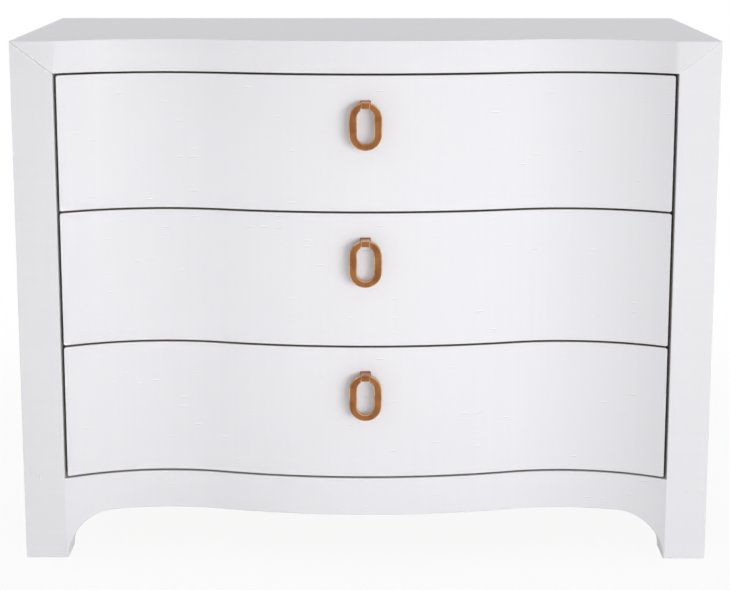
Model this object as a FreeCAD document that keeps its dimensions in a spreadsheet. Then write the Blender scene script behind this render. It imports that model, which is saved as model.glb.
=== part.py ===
import FreeCAD, Part
import os
from math import atan2, sqrt

import Sketcher
from FreeCAD import Vector

# A serpentine-fronted chest of three drawers, every board of it wrapped in woven cloth.
#
# Millimetres. X runs across the front, Y from the front to the back and Z up from the floor.
# Every piece is drawn with Y counted from the flat face of the front posts, and the pieces
# of a drawer with Z counted from the lower edge of its front. The Placement of each piece
# then puts it in the chest, whose origin lies under the middle of everything, on the floor.
#
# The case is a box of hollow slabs, mitred where the top meets the sides: solid posts and
# rails at the front and back, with a skin on either face. The top's front edge, the drawer
# fronts and the apron share one serpentine face, a crown between two hollows.

DIMENSIONS = (
    # case
    ("case_width", 1067),
    ("case_depth", 508),
    ("case_height", 813),
    ("side_thickness", 63.5),
    ("top_thickness", 49),
    ("skin_thickness", 9),
    ("lining_thickness", 6),
    ("foot_height", 71),
    ("apron_height", 60),
    ("arch_toe", 2),
    ("rail_thickness", 20),
    ("floor_thickness", 12),
    ("back_thickness", 5),
    ("back_rebate", 10),
    ("divider_thickness", 18),
    ("divider_width", 60),
    ("divider_setback", 3),
    ("block_leg", 45),
    # serpentine face
    ("hollow_offset", 307),
    ("hollow_depth", 45),
    ("crown_setback", 5),
    ("front_wall", 20),
    # feet
    ("glide_thickness", 2),
    ("glide_width", 26),
    # drawers
    ("drawer_gap", 3),
    ("drawer_side_gap", 4.5),
    ("front_corner_radius", 3),
    ("front_edge_bevel", 1.2),
    ("box_offset", 28),
    ("box_headroom", 21.5),
    ("box_rear_clearance", 3),
    ("box_front_thickness", 15),
    ("box_wall", 12),
    ("box_floor_thickness", 6),
    ("groove_height", 10),
    ("groove_depth", 5),
    ("tail_count", 4),
    ("tail_neck", 20),
    ("tail_width", 24),
    ("tail_lap", 4),
    # telescopic slides
    ("slide_thickness", 12.7),
    ("slide_height", 45),
    ("slide_setback", 5),
    ("slide_rear_margin", 10),
    ("slide_gauge", 1.2),
    ("slide_web_gap", 1),
    ("slide_play", 0.3),
    ("ball_size", 2.7),
    # ring pulls
    ("pull_drop", 43),
    ("pull_standoff", 19),
    ("strap_width", 13.5),
    ("strap_height", 10),
    ("strap_nose", 5),
    ("plate_width", 16),
    ("plate_height", 12),
    ("plate_thickness", 2.5),
    ("ring_width", 50),
    ("ring_height", 73),
    ("ring_side_bar", 12),
    ("ring_end_bar", 10),
    ("ring_thickness", 8),
    ("ring_edge_bevel", 1.4),
    ("journal_radius", 3.5),
    ("journal_play", 0.05),
    ("ring_side_play", 0.3),
    ("pull_screw_radius", 2),
    ("pull_screw_bite", 8),
    ("pull_screw_clearance", 0.1),
    ("screw_head_radius", 4.5),
    ("screw_head_height", 2.5),
)

DRAWERS = ("lower", "middle", "upper")
SIDES = {"left": -1, "right": 1}

# What follows from the driving sizes. Names without a sheet are the rows above.
LAYOUT = (
    ("half_width", "dims.case_width / 2"),
    ("half_opening", "half_width - dims.side_thickness"),
    ("mitre_slope", "dims.top_thickness / dims.side_thickness"),
    ("opening_top", "dims.case_height - dims.top_thickness"),
    ("skin_bottom", "dims.case_height - dims.skin_thickness"),
    ("skin_inside", "half_width - dims.skin_thickness"),
    ("skin_reach", "half_width - dims.skin_thickness / mitre_slope"),
    ("skin_mitre_top", "dims.case_height - dims.skin_thickness * mitre_slope"),
    ("frame_depth", "dims.hollow_depth + dims.front_wall"),
    ("rear_frame", "dims.case_depth - frame_depth"),
    ("back_front", "dims.case_depth - dims.back_thickness"),
    ("rear_rail_front", "back_front - dims.rail_thickness"),
    ("back_half_width", "half_opening + dims.back_rebate"),
    ("back_top", "opening_top + dims.back_rebate"),
    ("floor_top", "dims.foot_height + dims.apron_height"),
    ("floor_bottom", "floor_top - dims.floor_thickness"),
    ("lining_back", "half_opening + dims.lining_thickness"),
    ("arch_radius", "dims.foot_height - dims.glide_thickness"),
    # serpentine: a hollow arc on each side, tangent to the arc of the crown
    ("hollow_reach", "half_opening - dims.hollow_offset"),
    ("hollow_radius", "(hollow_reach ^ 2 + dims.hollow_depth ^ 2) / (2 * dims.hollow_depth)"),
    ("crown_rise", "dims.hollow_depth - dims.crown_setback"),
    ("centre_spacing", "(dims.hollow_offset ^ 2 + crown_rise ^ 2) / (2 * crown_rise)"),
    ("crown_radius", "centre_spacing - hollow_radius"),
    ("wave_x", "dims.hollow_offset * crown_radius / centre_spacing"),
    ("wave_y", "dims.hollow_depth - crown_rise * hollow_radius / centre_spacing"),
    # drawers
    ("front_height", "(opening_top - floor_top"
     f" - {len(DRAWERS) + 1} * dims.drawer_gap) / {len(DRAWERS)}"),
    ("front_pitch", "front_height + dims.drawer_gap"),
    ("front_half_width", "half_opening - dims.drawer_side_gap"),
    ("front_side_y", "dims.hollow_depth - hollow_radius"
     " + sqrt(hollow_radius ^ 2 - (front_half_width - dims.hollow_offset) ^ 2)"),
    ("box_half_width", "half_opening - dims.slide_thickness"),
    ("box_inside", "box_half_width - dims.box_wall"),
    ("box_top", "front_height + dims.drawer_gap / 2 - dims.divider_thickness / 2 - dims.box_headroom"),
    ("box_height", "box_top - dims.box_offset"),
    ("box_front_inside", "frame_depth + dims.box_front_thickness"),
    ("box_end", "rear_rail_front - dims.box_rear_clearance"),
    ("box_back_inside", "box_end - dims.box_wall"),
    ("groove_bottom", "dims.box_offset + dims.groove_height"),
    ("groove_top", "groove_bottom + dims.box_floor_thickness"),
    ("groove_side", "box_inside + dims.groove_depth"),
    ("groove_front", "box_front_inside - dims.groove_depth"),
    ("groove_back", "box_back_inside + dims.groove_depth"),
    ("tail_pitch", "box_height / dims.tail_count"),
    ("tail_middle", "dims.box_offset + tail_pitch / 2"),
    ("tail_front", "frame_depth + dims.tail_lap"),
    # slides, counted from the side of the case towards the drawer
    ("slide_middle", "dims.box_offset + box_height / 2"),
    ("slide_start", "frame_depth + dims.slide_setback"),
    ("slide_end", "box_end - dims.slide_rear_margin"),
    ("slide_step", "dims.slide_gauge + dims.ball_size + dims.slide_play"),
    ("case_member_half", "dims.slide_height / 2"),
    ("centre_member_half", "case_member_half - slide_step"),
    ("drawer_member_half", "centre_member_half - slide_step"),
    ("centre_web", "dims.slide_gauge + dims.slide_web_gap"),
    ("drawer_web", "dims.slide_thickness - dims.slide_gauge"),
    ("outer_lip", "drawer_web - dims.slide_web_gap"),
    ("inner_lip", "centre_web + dims.slide_gauge + dims.slide_web_gap"),
    ("ball_near", "inner_lip + dims.slide_web_gap"),
    ("ball_far", "outer_lip - dims.slide_web_gap"),
    # pulls
    ("pull_y", "dims.crown_setback - dims.pull_standoff"),
    ("pull_z", "front_height - dims.pull_drop"),
    ("ring_top", "pull_z + dims.ring_end_bar / 2"),
    ("ring_bottom", "ring_top - dims.ring_height"),
    ("ring_outer_radius", "dims.ring_width / 2"),
    ("ring_inner_radius", "dims.ring_width / 2 - dims.ring_side_bar"),
    ("ring_hole_top", "ring_top - dims.ring_end_bar"),
    ("ring_hole_bottom", "ring_bottom + dims.ring_end_bar"),
    ("journal_half", "dims.strap_width / 2 + dims.ring_side_play"),
    ("pull_front", "pull_y - max(dims.strap_nose; dims.ring_thickness / 2)"),
    ("middle_y", "(pull_front + dims.case_depth) / 2"),
    # feet
    ("glide_x", "(half_opening + skin_inside) / 2"),
    ("glide_front_y", "frame_depth / 2"),
    ("glide_rear_y", "dims.case_depth - frame_depth / 2"),
)

doc = FreeCAD.newDocument("serpentine_chest")
pieces = []


def fill_sheet(name, rows, lead=""):
    """Makes a sheet of named cells: the name in column A, its number or formula in column B."""
    sheet = doc.addObject("Spreadsheet::Sheet", name)
    for row, (alias, content) in enumerate(rows, start=1):
        sheet.set(f"A{row}", alias)
        sheet.set(f"B{row}", f"{lead}{content}")
        sheet.setAlias(f"B{row}", alias)
    doc.recompute()
    return sheet


# ---------------------------------------------------------------- outlines and features


class Outline:
    """A closed outline. A corner is (x, y), or (x, y, radius, turn) where the stretch that
    leaves it is an arc: turn is 1 for an arc that turns left on its way and -1 for right."""

    def __init__(self, *corners):
        self.corners = corners

    def draw(self, sketch):
        stretches = []
        for here, after in zip(self.corners, self.corners[1:] + self.corners[:1]):
            start, end = corner_point(sketch, here), corner_point(sketch, after)
            if len(here) == 2:
                stretches.append((sketch.addGeometry(Part.LineSegment(start, end)), 1, 2))
            else:
                stretches.append(draw_arc(sketch, start, end, here[2], here[3]))
        for (line, _, end), (following, start, _) in zip(stretches, stretches[1:] + stretches[:1]):
            sketch.addConstraint(Sketcher.Constraint("Coincident", line, end, following, start))
        for (line, start, _), corner in zip(stretches, self.corners):
            fix_point(sketch, line, start, corner[0], corner[1])


class Circle:
    """A full circle about (x, y)."""

    def __init__(self, x, y, radius):
        self.x, self.y, self.radius = x, y, radius

    def draw(self, sketch):
        centre = corner_point(sketch, (self.x, self.y))
        radius = number(sketch, self.radius)
        line = sketch.addGeometry(Part.Circle(centre, Vector(0, 0, 1), radius))
        fix_point(sketch, line, 3, self.x, self.y)
        fix(sketch, ("Radius", line, radius), self.radius)


def number(owner, expression):
    return float(owner.evalExpression(expression))


def corner_point(sketch, corner):
    return Vector(number(sketch, corner[0]), number(sketch, corner[1]), 0)


def draw_arc(sketch, start, end, radius, turn):
    """Draws the shorter arc between two points, and returns it with its ends' positions."""
    size = number(sketch, radius)
    chord = end - start
    left = Vector(-chord.y, chord.x, 0).normalize()
    centre = (start + end) / 2 + left * turn * sqrt(size**2 - chord.Length**2 / 4)
    first, last = (start, end) if turn > 0 else (end, start)
    angles = [atan2(point.y - centre.y, point.x - centre.x) for point in (first, last)]
    line = sketch.addGeometry(Part.ArcOfCircle(Part.Circle(centre, Vector(0, 0, 1), size), *angles))
    fix(sketch, ("Radius", line, size), radius)
    return (line, 1, 2) if turn > 0 else (line, 2, 1)


def fix(sketch, constraint, expression):
    """Adds a size constraint and binds it to the sheets."""
    index = sketch.addConstraint(Sketcher.Constraint(*constraint))
    sketch.setExpression(f"Constraints[{index}]", expression)


def fix_point(sketch, line, position, x, y):
    fix(sketch, ("DistanceX", -1, 1, line, position, number(sketch, x)), x)
    fix(sketch, ("DistanceY", -1, 1, line, position, number(sketch, y)), y)


def rectangle(x_low, x_high, y_low, y_high):
    return Outline((x_low, y_low), (x_high, y_low), (x_high, y_high), (x_low, y_high))


def negative(expression):
    return f"-({expression})"


def on_side(side, expression):
    """The same distance out from the middle, on the right for 1 and on the left for -1."""
    return expression if side > 0 else negative(expression)


def span_on_side(side, inner, outer):
    """A span along X, given from the middle outwards, in rising order."""
    return (inner, outer) if side > 0 else (negative(outer), negative(inner))


PLANES = {"X": ("YZ_Plane", 1), "Y": ("XZ_Plane", -1), "Z": ("XY_Plane", 1)}


def origin_plane(body, role):
    return next(feature for feature in body.Origin.OriginFeatures if feature.Role == role)


def sketch_across(body, name, axis, low, high, outlines):
    """Draws outlines square to an axis, in the plane from which the normal sweeps low to high."""
    role, direction = PLANES[axis]
    sketch = body.newObject("Sketcher::SketchObject", f"{name}_sketch")
    sketch.AttachmentSupport = [(origin_plane(body, role), "")]
    sketch.MapMode = "FlatFace"
    sketch.setExpression("AttachmentOffset.Base.z", low if direction > 0 else negative(high))
    for outline in outlines:
        outline.draw(sketch)
    return sketch


def add(body, name, axis, low, high, *outlines):
    """Adds the outlines, swept along an axis from low to high."""
    feature = body.newObject("PartDesign::Pad", name)
    feature.Profile = sketch_across(body, name, axis, low, high, outlines)
    feature.setExpression("Length", f"({high}) - ({low})")
    body.Tip = feature
    return feature


def cut(body, name, axis, low, high, *outlines):
    """Cuts the outlines away, swept along an axis from low to high."""
    doc.recompute()
    before = body.Shape.Volume
    feature = body.newObject("PartDesign::Pocket", name)
    feature.Profile = sketch_across(body, name, axis, low, high, outlines)
    feature.setExpression("Length", f"({high}) - ({low})")
    feature.Reversed = True
    body.Tip = feature
    doc.recompute()
    if not body.Shape.Volume < before:
        raise ValueError(f"{body.Label}: {name} cuts nothing")
    return feature


def repeat(body, feature, axis_name, length, count):
    """Repeats a feature along an axis of its own sketch."""
    pattern = body.newObject("PartDesign::LinearPattern", f"{feature.Name}_pattern")
    pattern.Originals = [feature]
    pattern.Direction = (feature.Profile[0], [axis_name])
    pattern.setExpression("Length", length)
    pattern.setExpression("Occurrences", count)
    body.Tip = pattern
    return pattern


def mirror(body, feature):
    """Adds the same on the other side of the chest."""
    mirrored = body.newObject("PartDesign::Mirrored", f"{feature.Name}_mirror")
    mirrored.Originals = [feature]
    mirrored.MirrorPlane = (origin_plane(body, "YZ_Plane"), [""])
    body.Tip = mirrored
    return mirrored


def dress_edges(body, kind, name, size_name, size, wanted):
    """Rounds or bevels the edges of the last feature that the test picks out."""
    doc.recompute()
    base = body.Tip
    edges = [f"Edge{index}" for index, edge in enumerate(base.Shape.Edges, start=1) if wanted(edge)]
    dressing = body.newObject(f"PartDesign::{kind}", name)
    dressing.Base = (base, edges)
    dressing.setExpression(size_name, size)
    body.Tip = dressing


def round_edges(body, name, radius, wanted):
    dress_edges(body, "Fillet", name, "Radius", radius, wanted)


def bevel_edges(body, name, size, wanted):
    dress_edges(body, "Chamfer", name, "Size", size, wanted)


def place(piece, x="0", y="0", z="0"):
    """Puts a piece in the chest, whose origin is under the middle of its depth."""
    piece.setExpression("Placement.Base.x", x)
    piece.setExpression("Placement.Base.y", f"{y} - layout.middle_y")
    piece.setExpression("Placement.Base.z", z)
    pieces.append(piece)


def new_body(name, z="0"):
    body = doc.addObject("PartDesign::Body", name)
    body.Label = name
    place(body, z=z)
    return body


def board(name, x_span, y_span, z_span, z_base="0"):
    """A plain rectangular board between two corners."""
    box = doc.addObject("Part::Box", name)
    box.Label = name
    for size, (low, high) in zip(("Length", "Width", "Height"), (x_span, y_span, z_span)):
        box.setExpression(size, f"({high}) - ({low})")
    place(box, x_span[0], y_span[0], f"{z_base} + {z_span[0]}")
    return box


def across(half):
    """A span along X that reaches as far on both sides."""
    return negative(half), half


# ---------------------------------------------------------------- shared outlines


def serpentine(half_span, end_y):
    """The corners of the serpentine face from right to left: hollow, crown, hollow."""
    return (
        (half_span, end_y, "layout.hollow_radius", 1),
        ("layout.wave_x", "layout.wave_y", "layout.crown_radius", -1),
        (negative("layout.wave_x"), "layout.wave_y", "layout.hollow_radius", 1),
        (negative(half_span), end_y),
    )


def serpentine_plan(half_span, back):
    """A plan with flat ends outside the opening and the serpentine between them."""
    return Outline(
        (negative(half_span), back), (half_span, back), (half_span, "0"),
        *serpentine("layout.half_opening", "0"), (negative(half_span), "0"),
    )


def arch(low, high):
    """The opening under an apron, from foot to foot, with quarter-round corners."""
    base, crown, radius = "dims.glide_thickness", "dims.foot_height", "layout.arch_radius"
    left, right = f"{low} + dims.arch_toe", f"{high} - dims.arch_toe"
    return Outline(
        (left, base, radius, -1), (f"{left} + {radius}", crown),
        (f"{right} - {radius}", crown, radius, -1), (right, base),
    )


def mitre_waste(side, low, high, reach_low, reach_high):
    """The triangle that the mitre takes off the end of a piece of the top."""
    return Outline(
        (on_side(side, reach_low), low),
        (on_side(side, reach_high), high),
        (on_side(side, reach_high), low),
    )


# ---------------------------------------------------------------- top of the case


def top_panel():
    body = new_body("top_panel")
    low, high = "layout.skin_bottom", "dims.case_height"
    add(body, "top_board", "Z", low, high, serpentine_plan("layout.half_width", "dims.case_depth"))
    for name, side in SIDES.items():
        waste = mitre_waste(side, low, high, "layout.skin_reach", "layout.half_width")
        cut(body, f"top_mitre_{name}", "Y", "0", "dims.case_depth", waste)


def top_front_rail():
    body = new_body("top_front_rail")
    low, high = "layout.opening_top", "layout.skin_bottom"
    plan = serpentine_plan("layout.skin_reach", "layout.frame_depth")
    add(body, "front_rail", "Z", low, high, plan)
    for name, side in SIDES.items():
        waste = mitre_waste(side, low, high, "layout.half_opening", "layout.skin_reach")
        cut(body, f"rail_mitre_{name}", "Y", "0", "layout.frame_depth", waste)


def top_rear_rail():
    body = new_body("top_rear_rail")
    section = Outline(
        (negative("layout.half_opening"), "layout.opening_top"),
        ("layout.half_opening", "layout.opening_top"),
        ("layout.skin_reach", "layout.skin_bottom"),
        (negative("layout.skin_reach"), "layout.skin_bottom"),
    )
    add(body, "rear_rail", "Y", "layout.rear_frame", "dims.case_depth", section)
    rebate = rectangle(*across("layout.back_half_width"), "layout.opening_top", "layout.back_top")
    cut(body, "rail_rebate", "Y", "layout.back_front", "dims.case_depth", rebate)


def top_dust_panel():
    board(
        "top_dust_panel",
        across("layout.lining_back"),
        ("layout.frame_depth", "layout.rear_frame"),
        ("layout.opening_top", "layout.opening_top + dims.lining_thickness"),
    )


# ---------------------------------------------------------------- sides of the case


def side_panel(name, side):
    """The outer skin of a side, arched between its feet and mitred to the top."""
    body = new_body(f"{name}_side_panel")
    section = Outline(
        (on_side(side, "layout.skin_inside"), "dims.glide_thickness"),
        (on_side(side, "layout.half_width"), "dims.glide_thickness"),
        (on_side(side, "layout.half_width"), "dims.case_height"),
        (on_side(side, "layout.skin_inside"), "layout.skin_mitre_top"),
    )
    add(body, f"{name}_skin", "Y", "0", "dims.case_depth", section)
    span = span_on_side(side, "layout.skin_inside", "layout.half_width")
    cut(body, f"{name}_skin_arch", "X", *span, arch("layout.frame_depth", "layout.rear_frame"))


def inner_panel(name, side):
    """The lining of a side, which the case members of the slides are screwed to."""
    board(
        f"{name}_inner_panel",
        span_on_side(side, "layout.half_opening", "layout.lining_back"),
        ("layout.frame_depth", "layout.rear_frame"),
        ("layout.floor_top", "layout.opening_top"),
    )


def post_section(side):
    return Outline(
        (on_side(side, "layout.half_opening"), "dims.glide_thickness"),
        (on_side(side, "layout.skin_inside"), "dims.glide_thickness"),
        (on_side(side, "layout.skin_inside"), "layout.skin_mitre_top"),
        (on_side(side, "layout.half_opening"), "layout.opening_top"),
    )


def front_post(name, side):
    body = new_body(f"{name}_front_post")
    add(body, f"{name}_front_stile", "Y", "0", "layout.frame_depth", post_section(side))


def rear_post(name, side):
    body = new_body(f"{name}_rear_post")
    add(body, f"{name}_rear_stile", "Y", "layout.rear_frame", "dims.case_depth", post_section(side))
    edges = on_side(side, "layout.half_opening"), on_side(side, "layout.back_half_width")
    rebate = rectangle(*edges, "dims.foot_height", "layout.back_top")
    cut(body, f"{name}_post_rebate", "Y", "layout.back_front", "dims.case_depth", rebate)


def bottom_rail(name, side):
    """The block that closes a side along its arched lower edge."""
    body = new_body(f"{name}_bottom_rail")
    span = span_on_side(side, "layout.half_opening", "layout.skin_inside")
    ends = "layout.frame_depth", "layout.rear_frame"
    face = rectangle(*ends, "dims.glide_thickness", "layout.floor_top")
    add(body, f"{name}_rail_block", "X", *span, face)
    cut(body, f"{name}_rail_arch", "X", *span, arch(*ends))


# ---------------------------------------------------------------- aprons, floor, back


def front_apron():
    body = new_body("front_apron")
    plan = Outline(
        (negative("layout.half_opening"), "layout.frame_depth"),
        ("layout.half_opening", "layout.frame_depth"),
        *serpentine("layout.half_opening", "0"),
    )
    add(body, "apron_block", "Z", "dims.glide_thickness", "layout.floor_top", plan)
    cut(body, "apron_arch", "Y", "0", "layout.frame_depth", arch(*across("layout.half_opening")))


def rear_apron():
    body = new_body("rear_apron")
    depth = "layout.rear_rail_front", "layout.back_front"
    face = rectangle(*across("layout.half_opening"), "dims.glide_thickness", "layout.floor_top")
    add(body, "rear_apron_board", "Y", *depth, face)
    cut(body, "rear_apron_arch", "Y", *depth, arch(*across("layout.half_opening")))


def bottom_panel():
    board(
        "bottom_panel",
        across("layout.half_opening"),
        ("layout.frame_depth", "layout.rear_rail_front"),
        ("layout.floor_bottom", "layout.floor_top"),
    )


def corner_blocks():
    """Glue blocks under the floor, where it meets the sides and the two aprons."""
    body = new_body("corner_blocks")
    blocks = []
    for side in SIDES.values():
        corner, leg = on_side(side, "layout.half_opening"), on_side(side, "dims.block_leg")
        for y, inward in (("layout.frame_depth", "+"), ("layout.rear_rail_front", "-")):
            toe = f"{y} {inward} dims.block_leg"
            blocks.append(Outline((corner, y), (f"{corner} - {leg}", y), (corner, toe)))
    add(body, "blocks", "Z", "layout.floor_bottom - dims.block_leg", "layout.floor_bottom", *blocks)


def divider(name, drawers_below):
    """A rail across the case, behind the gap between two drawer fronts."""
    middle = f"layout.floor_top + dims.drawer_gap / 2 + {drawers_below} * layout.front_pitch"
    front = "layout.frame_depth + dims.divider_setback"
    board(
        name,
        across("layout.half_opening"),
        (front, f"{front} + dims.divider_width"),
        (f"{middle} - dims.divider_thickness / 2", f"{middle} + dims.divider_thickness / 2"),
    )


def back_panel():
    """A thin sheet let into rebates in the rear posts and the rear rail."""
    board(
        "back_panel",
        across("layout.back_half_width"),
        ("layout.back_front", "dims.case_depth"),
        ("dims.foot_height", "layout.back_top"),
    )


def foot_glides():
    """Four square pads under the feet."""
    body = new_body("foot_glides")
    half = "dims.glide_width / 2"
    pads = []
    for side in SIDES.values():
        x = on_side(side, "layout.glide_x")
        for y in ("layout.glide_front_y", "layout.glide_rear_y"):
            pads.append(rectangle(f"{x} - {half}", f"{x} + {half}", f"{y} - {half}", f"{y} + {half}"))
    add(body, "glide_pads", "Z", "0", "dims.glide_thickness", *pads)


# ---------------------------------------------------------------- drawers


def drawer_base(row):
    return f"layout.floor_top + dims.drawer_gap + {row} * layout.front_pitch"


def is_front_corner(edge):
    """True for the four edges of a drawer front that run from its face to its back."""
    box = edge.BoundBox
    return box.XLength < 1e-6 and box.ZLength < 1e-6


def is_on_rim(edge):
    """True for the edges round the serpentine face, but not the smooth joins of its arcs."""
    start, end = (vertex.Point for vertex in edge.Vertexes)
    reaches_back = max(start.y, end.y) > doc.layout.frame_depth - 1e-3
    is_join = abs(start.x - end.x) < 1e-6 and abs(start.x) < doc.layout.front_half_width - 1e-3
    return not reaches_back and not is_join


def drawer_front(name, base):
    """A block with the serpentine face and a flat back, its corners and arrises softened."""
    body = new_body(f"{name}_drawer_front", base)
    plan = Outline(
        (negative("layout.front_half_width"), "layout.frame_depth"),
        ("layout.front_half_width", "layout.frame_depth"),
        *serpentine("layout.front_half_width", "layout.front_side_y"),
    )
    add(body, f"{name}_front_block", "Z", "0", "layout.front_height", plan)
    round_edges(body, f"{name}_front_corners", "dims.front_corner_radius", is_front_corner)
    bevel_edges(body, f"{name}_front_arris", "dims.front_edge_bevel", is_on_rim)
    cut(body, f"{name}_front_pull_hole", "Y", "0", "layout.frame_depth", pull_screw_hole())


def pull_screw_hole():
    return Circle("0", "layout.pull_z", "dims.pull_screw_radius + dims.pull_screw_clearance")


def tail(root, tip):
    """One dovetail, seen from the side of the drawer, at the lowest of its places."""
    return Outline(
        (root, "layout.tail_middle - dims.tail_neck / 2"),
        (tip, "layout.tail_middle - dims.tail_width / 2"),
        (tip, "layout.tail_middle + dims.tail_width / 2"),
        (root, "layout.tail_middle + dims.tail_neck / 2"),
    )


def repeat_tails(body, feature):
    repeat(body, feature, "V_Axis", "layout.tail_pitch * (dims.tail_count - 1)", "dims.tail_count")


FRONT_TAIL = ("layout.box_front_inside", "layout.tail_front")
BACK_TAIL = ("layout.box_back_inside", "layout.box_end")


def box_side(name, base, side_name, side):
    """A side of the drawer box: lapped dovetails in front, through dovetails at the back."""
    body = new_body(f"{name}_box_{side_name}_side", base)
    label = f"{name}_{side_name}"
    span = span_on_side(side, "layout.box_inside", "layout.box_half_width")
    height = "dims.box_offset", "layout.box_top"
    face = rectangle("layout.box_front_inside", "layout.box_back_inside", *height)
    add(body, f"{label}_board", "X", *span, face)
    for end, (root, tip) in (("front", FRONT_TAIL), ("back", BACK_TAIL)):
        repeat_tails(body, add(body, f"{label}_{end}_tail", "X", *span, tail(root, tip)))
    length = "layout.groove_front", "layout.groove_back"
    groove = rectangle(*length, "layout.groove_bottom", "layout.groove_top")
    depth = span_on_side(side, "layout.box_inside", "layout.groove_side")
    cut(body, f"{label}_groove", "X", *depth, groove)


def cut_sockets(body, name, shoulders):
    """Cuts the seats of the dovetails into both ends of a front or back."""
    for side_name, side in SIDES.items():
        span = span_on_side(side, "layout.box_inside", "layout.box_half_width")
        repeat_tails(body, cut(body, f"{name}_{side_name}_socket", "X", *span, tail(*shoulders)))


def box_end_board(name, base, y_low, y_high, shoulders, groove_low, groove_high):
    """A front or back of the drawer box, with dovetail sockets and the groove for the floor."""
    body = new_body(name, base)
    face = rectangle(*across("layout.box_half_width"), "dims.box_offset", "layout.box_top")
    add(body, f"{name}_board", "Y", y_low, y_high, face)
    cut_sockets(body, name, shoulders)
    groove = rectangle(*across("layout.groove_side"), "layout.groove_bottom", "layout.groove_top")
    cut(body, f"{name}_groove", "Y", groove_low, groove_high, groove)
    return body


def box_front(name, base):
    depth = "layout.frame_depth", "layout.box_front_inside"
    groove = "layout.groove_front", "layout.box_front_inside"
    body = box_end_board(f"{name}_box_front", base, *depth, FRONT_TAIL, *groove)
    cut(body, f"{name}_box_pull_hole", "Y", *depth, pull_screw_hole())


def box_back(name, base):
    depth = "layout.box_back_inside", "layout.box_end"
    groove = "layout.box_back_inside", "layout.groove_back"
    box_end_board(f"{name}_box_back", base, *depth, BACK_TAIL, *groove)


def box_bottom(name, base):
    board(
        f"{name}_box_bottom",
        across("layout.groove_side"),
        ("layout.groove_front", "layout.groove_back"),
        ("layout.groove_bottom", "layout.groove_top"),
        base,
    )


def pull_screw(name, base):
    """The long screw that holds a pull, from inside the box through both fronts."""
    body = new_body(f"{name}_pull_screw", base)
    tip, bearing = "dims.crown_setback - dims.pull_screw_bite", "layout.box_front_inside"
    shank = Circle("0", "layout.pull_z", "dims.pull_screw_radius")
    head = Circle("0", "layout.pull_z", "dims.screw_head_radius")
    add(body, f"{name}_shank", "Y", tip, bearing, shank)
    add(body, f"{name}_head", "Y", bearing, f"{bearing} + dims.screw_head_height", head)


# ---------------------------------------------------------------- telescopic slides


def channel(half_height, web, web_end, lip):
    """A C-section opening towards its lip: (distance from the case, height) of each corner."""
    inside = f"{half_height} - dims.slide_gauge"
    upper = [(web, half_height), (lip, half_height), (lip, inside), (web_end, inside)]
    return upper + [(depth, negative(height)) for depth, height in reversed(upper)]


def case_channel():
    return channel("layout.case_member_half", "0", "dims.slide_gauge", "layout.outer_lip")


def drawer_channel():
    webs = "dims.slide_thickness", "layout.drawer_web"
    return channel("layout.drawer_member_half", *webs, "layout.inner_lip")


def centre_channel():
    """The member between the two others, with a row of balls along both faces of each flange."""
    outer, inner = "layout.centre_member_half", "layout.centre_member_half - dims.slide_gauge"
    outer_balls, inner_balls = f"{outer} + dims.ball_size", f"{inner} - dims.ball_size"
    near, far, lip = "layout.ball_near", "layout.ball_far", "layout.outer_lip"
    upper = [
        ("layout.centre_web", outer),
        (near, outer), (near, outer_balls), (far, outer_balls), (far, outer),
        (lip, outer), (lip, inner),
        (far, inner), (far, inner_balls), (near, inner_balls), (near, inner),
        ("layout.centre_web + dims.slide_gauge", inner),
    ]
    return upper + [(depth, negative(height)) for depth, height in reversed(upper)]


def slide_pair(name, base, corners):
    """One member of the slides on both sides of a drawer."""
    body = new_body(name, base)
    section = Outline(*[
        (f"layout.half_opening - ({depth})", f"layout.slide_middle + ({height})")
        for depth, height in corners
    ])
    member = add(body, f"{name}_member", "Y", "layout.slide_start", "layout.slide_end", section)
    mirror(body, member)


# ---------------------------------------------------------------- ring pulls


def pull_bracket(name, base):
    """A plate on the face of the drawer with a strap that holds the ring's journal."""
    body = new_body(f"{name}_pull_bracket", base)
    z, face = "layout.pull_z", "dims.crown_setback"
    plate = rectangle(
        *across("dims.plate_width / 2"), f"{z} - dims.plate_height / 2", f"{z} + dims.plate_height / 2"
    )
    add(body, f"{name}_plate", "Y", f"{face} - dims.plate_thickness", face, plate)
    height = f"{z} - dims.strap_height / 2", f"{z} + dims.strap_height / 2"
    strap = rectangle("layout.pull_y - dims.strap_nose", face, *height)
    half = across("dims.strap_width / 2")
    add(body, f"{name}_strap", "X", *half, strap)
    bore = Circle("layout.pull_y", z, "dims.journal_radius + dims.journal_play")
    cut(body, f"{name}_bore", "X", *half, bore)
    depth = f"{face} - dims.pull_screw_bite - dims.pull_screw_clearance"
    cut(body, f"{name}_screw_hole", "Y", depth, face, pull_screw_hole())


def stadium(radius, low, high):
    """An upright outline with half-round ends."""
    return Outline(
        (radius, f"{high} - {radius}", radius, 1), ("0", high, radius, 1),
        (negative(radius), f"{high} - {radius}"),
        (negative(radius), f"{low} + {radius}", radius, 1), ("0", low, radius, 1),
        (radius, f"{low} + {radius}"),
    )


def is_on_ring_face(edge):
    """True for the edges round the flat front of a ring."""
    box = edge.BoundBox
    return box.YLength < 1e-6 and box.YMax < doc.layout.pull_y


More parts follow.
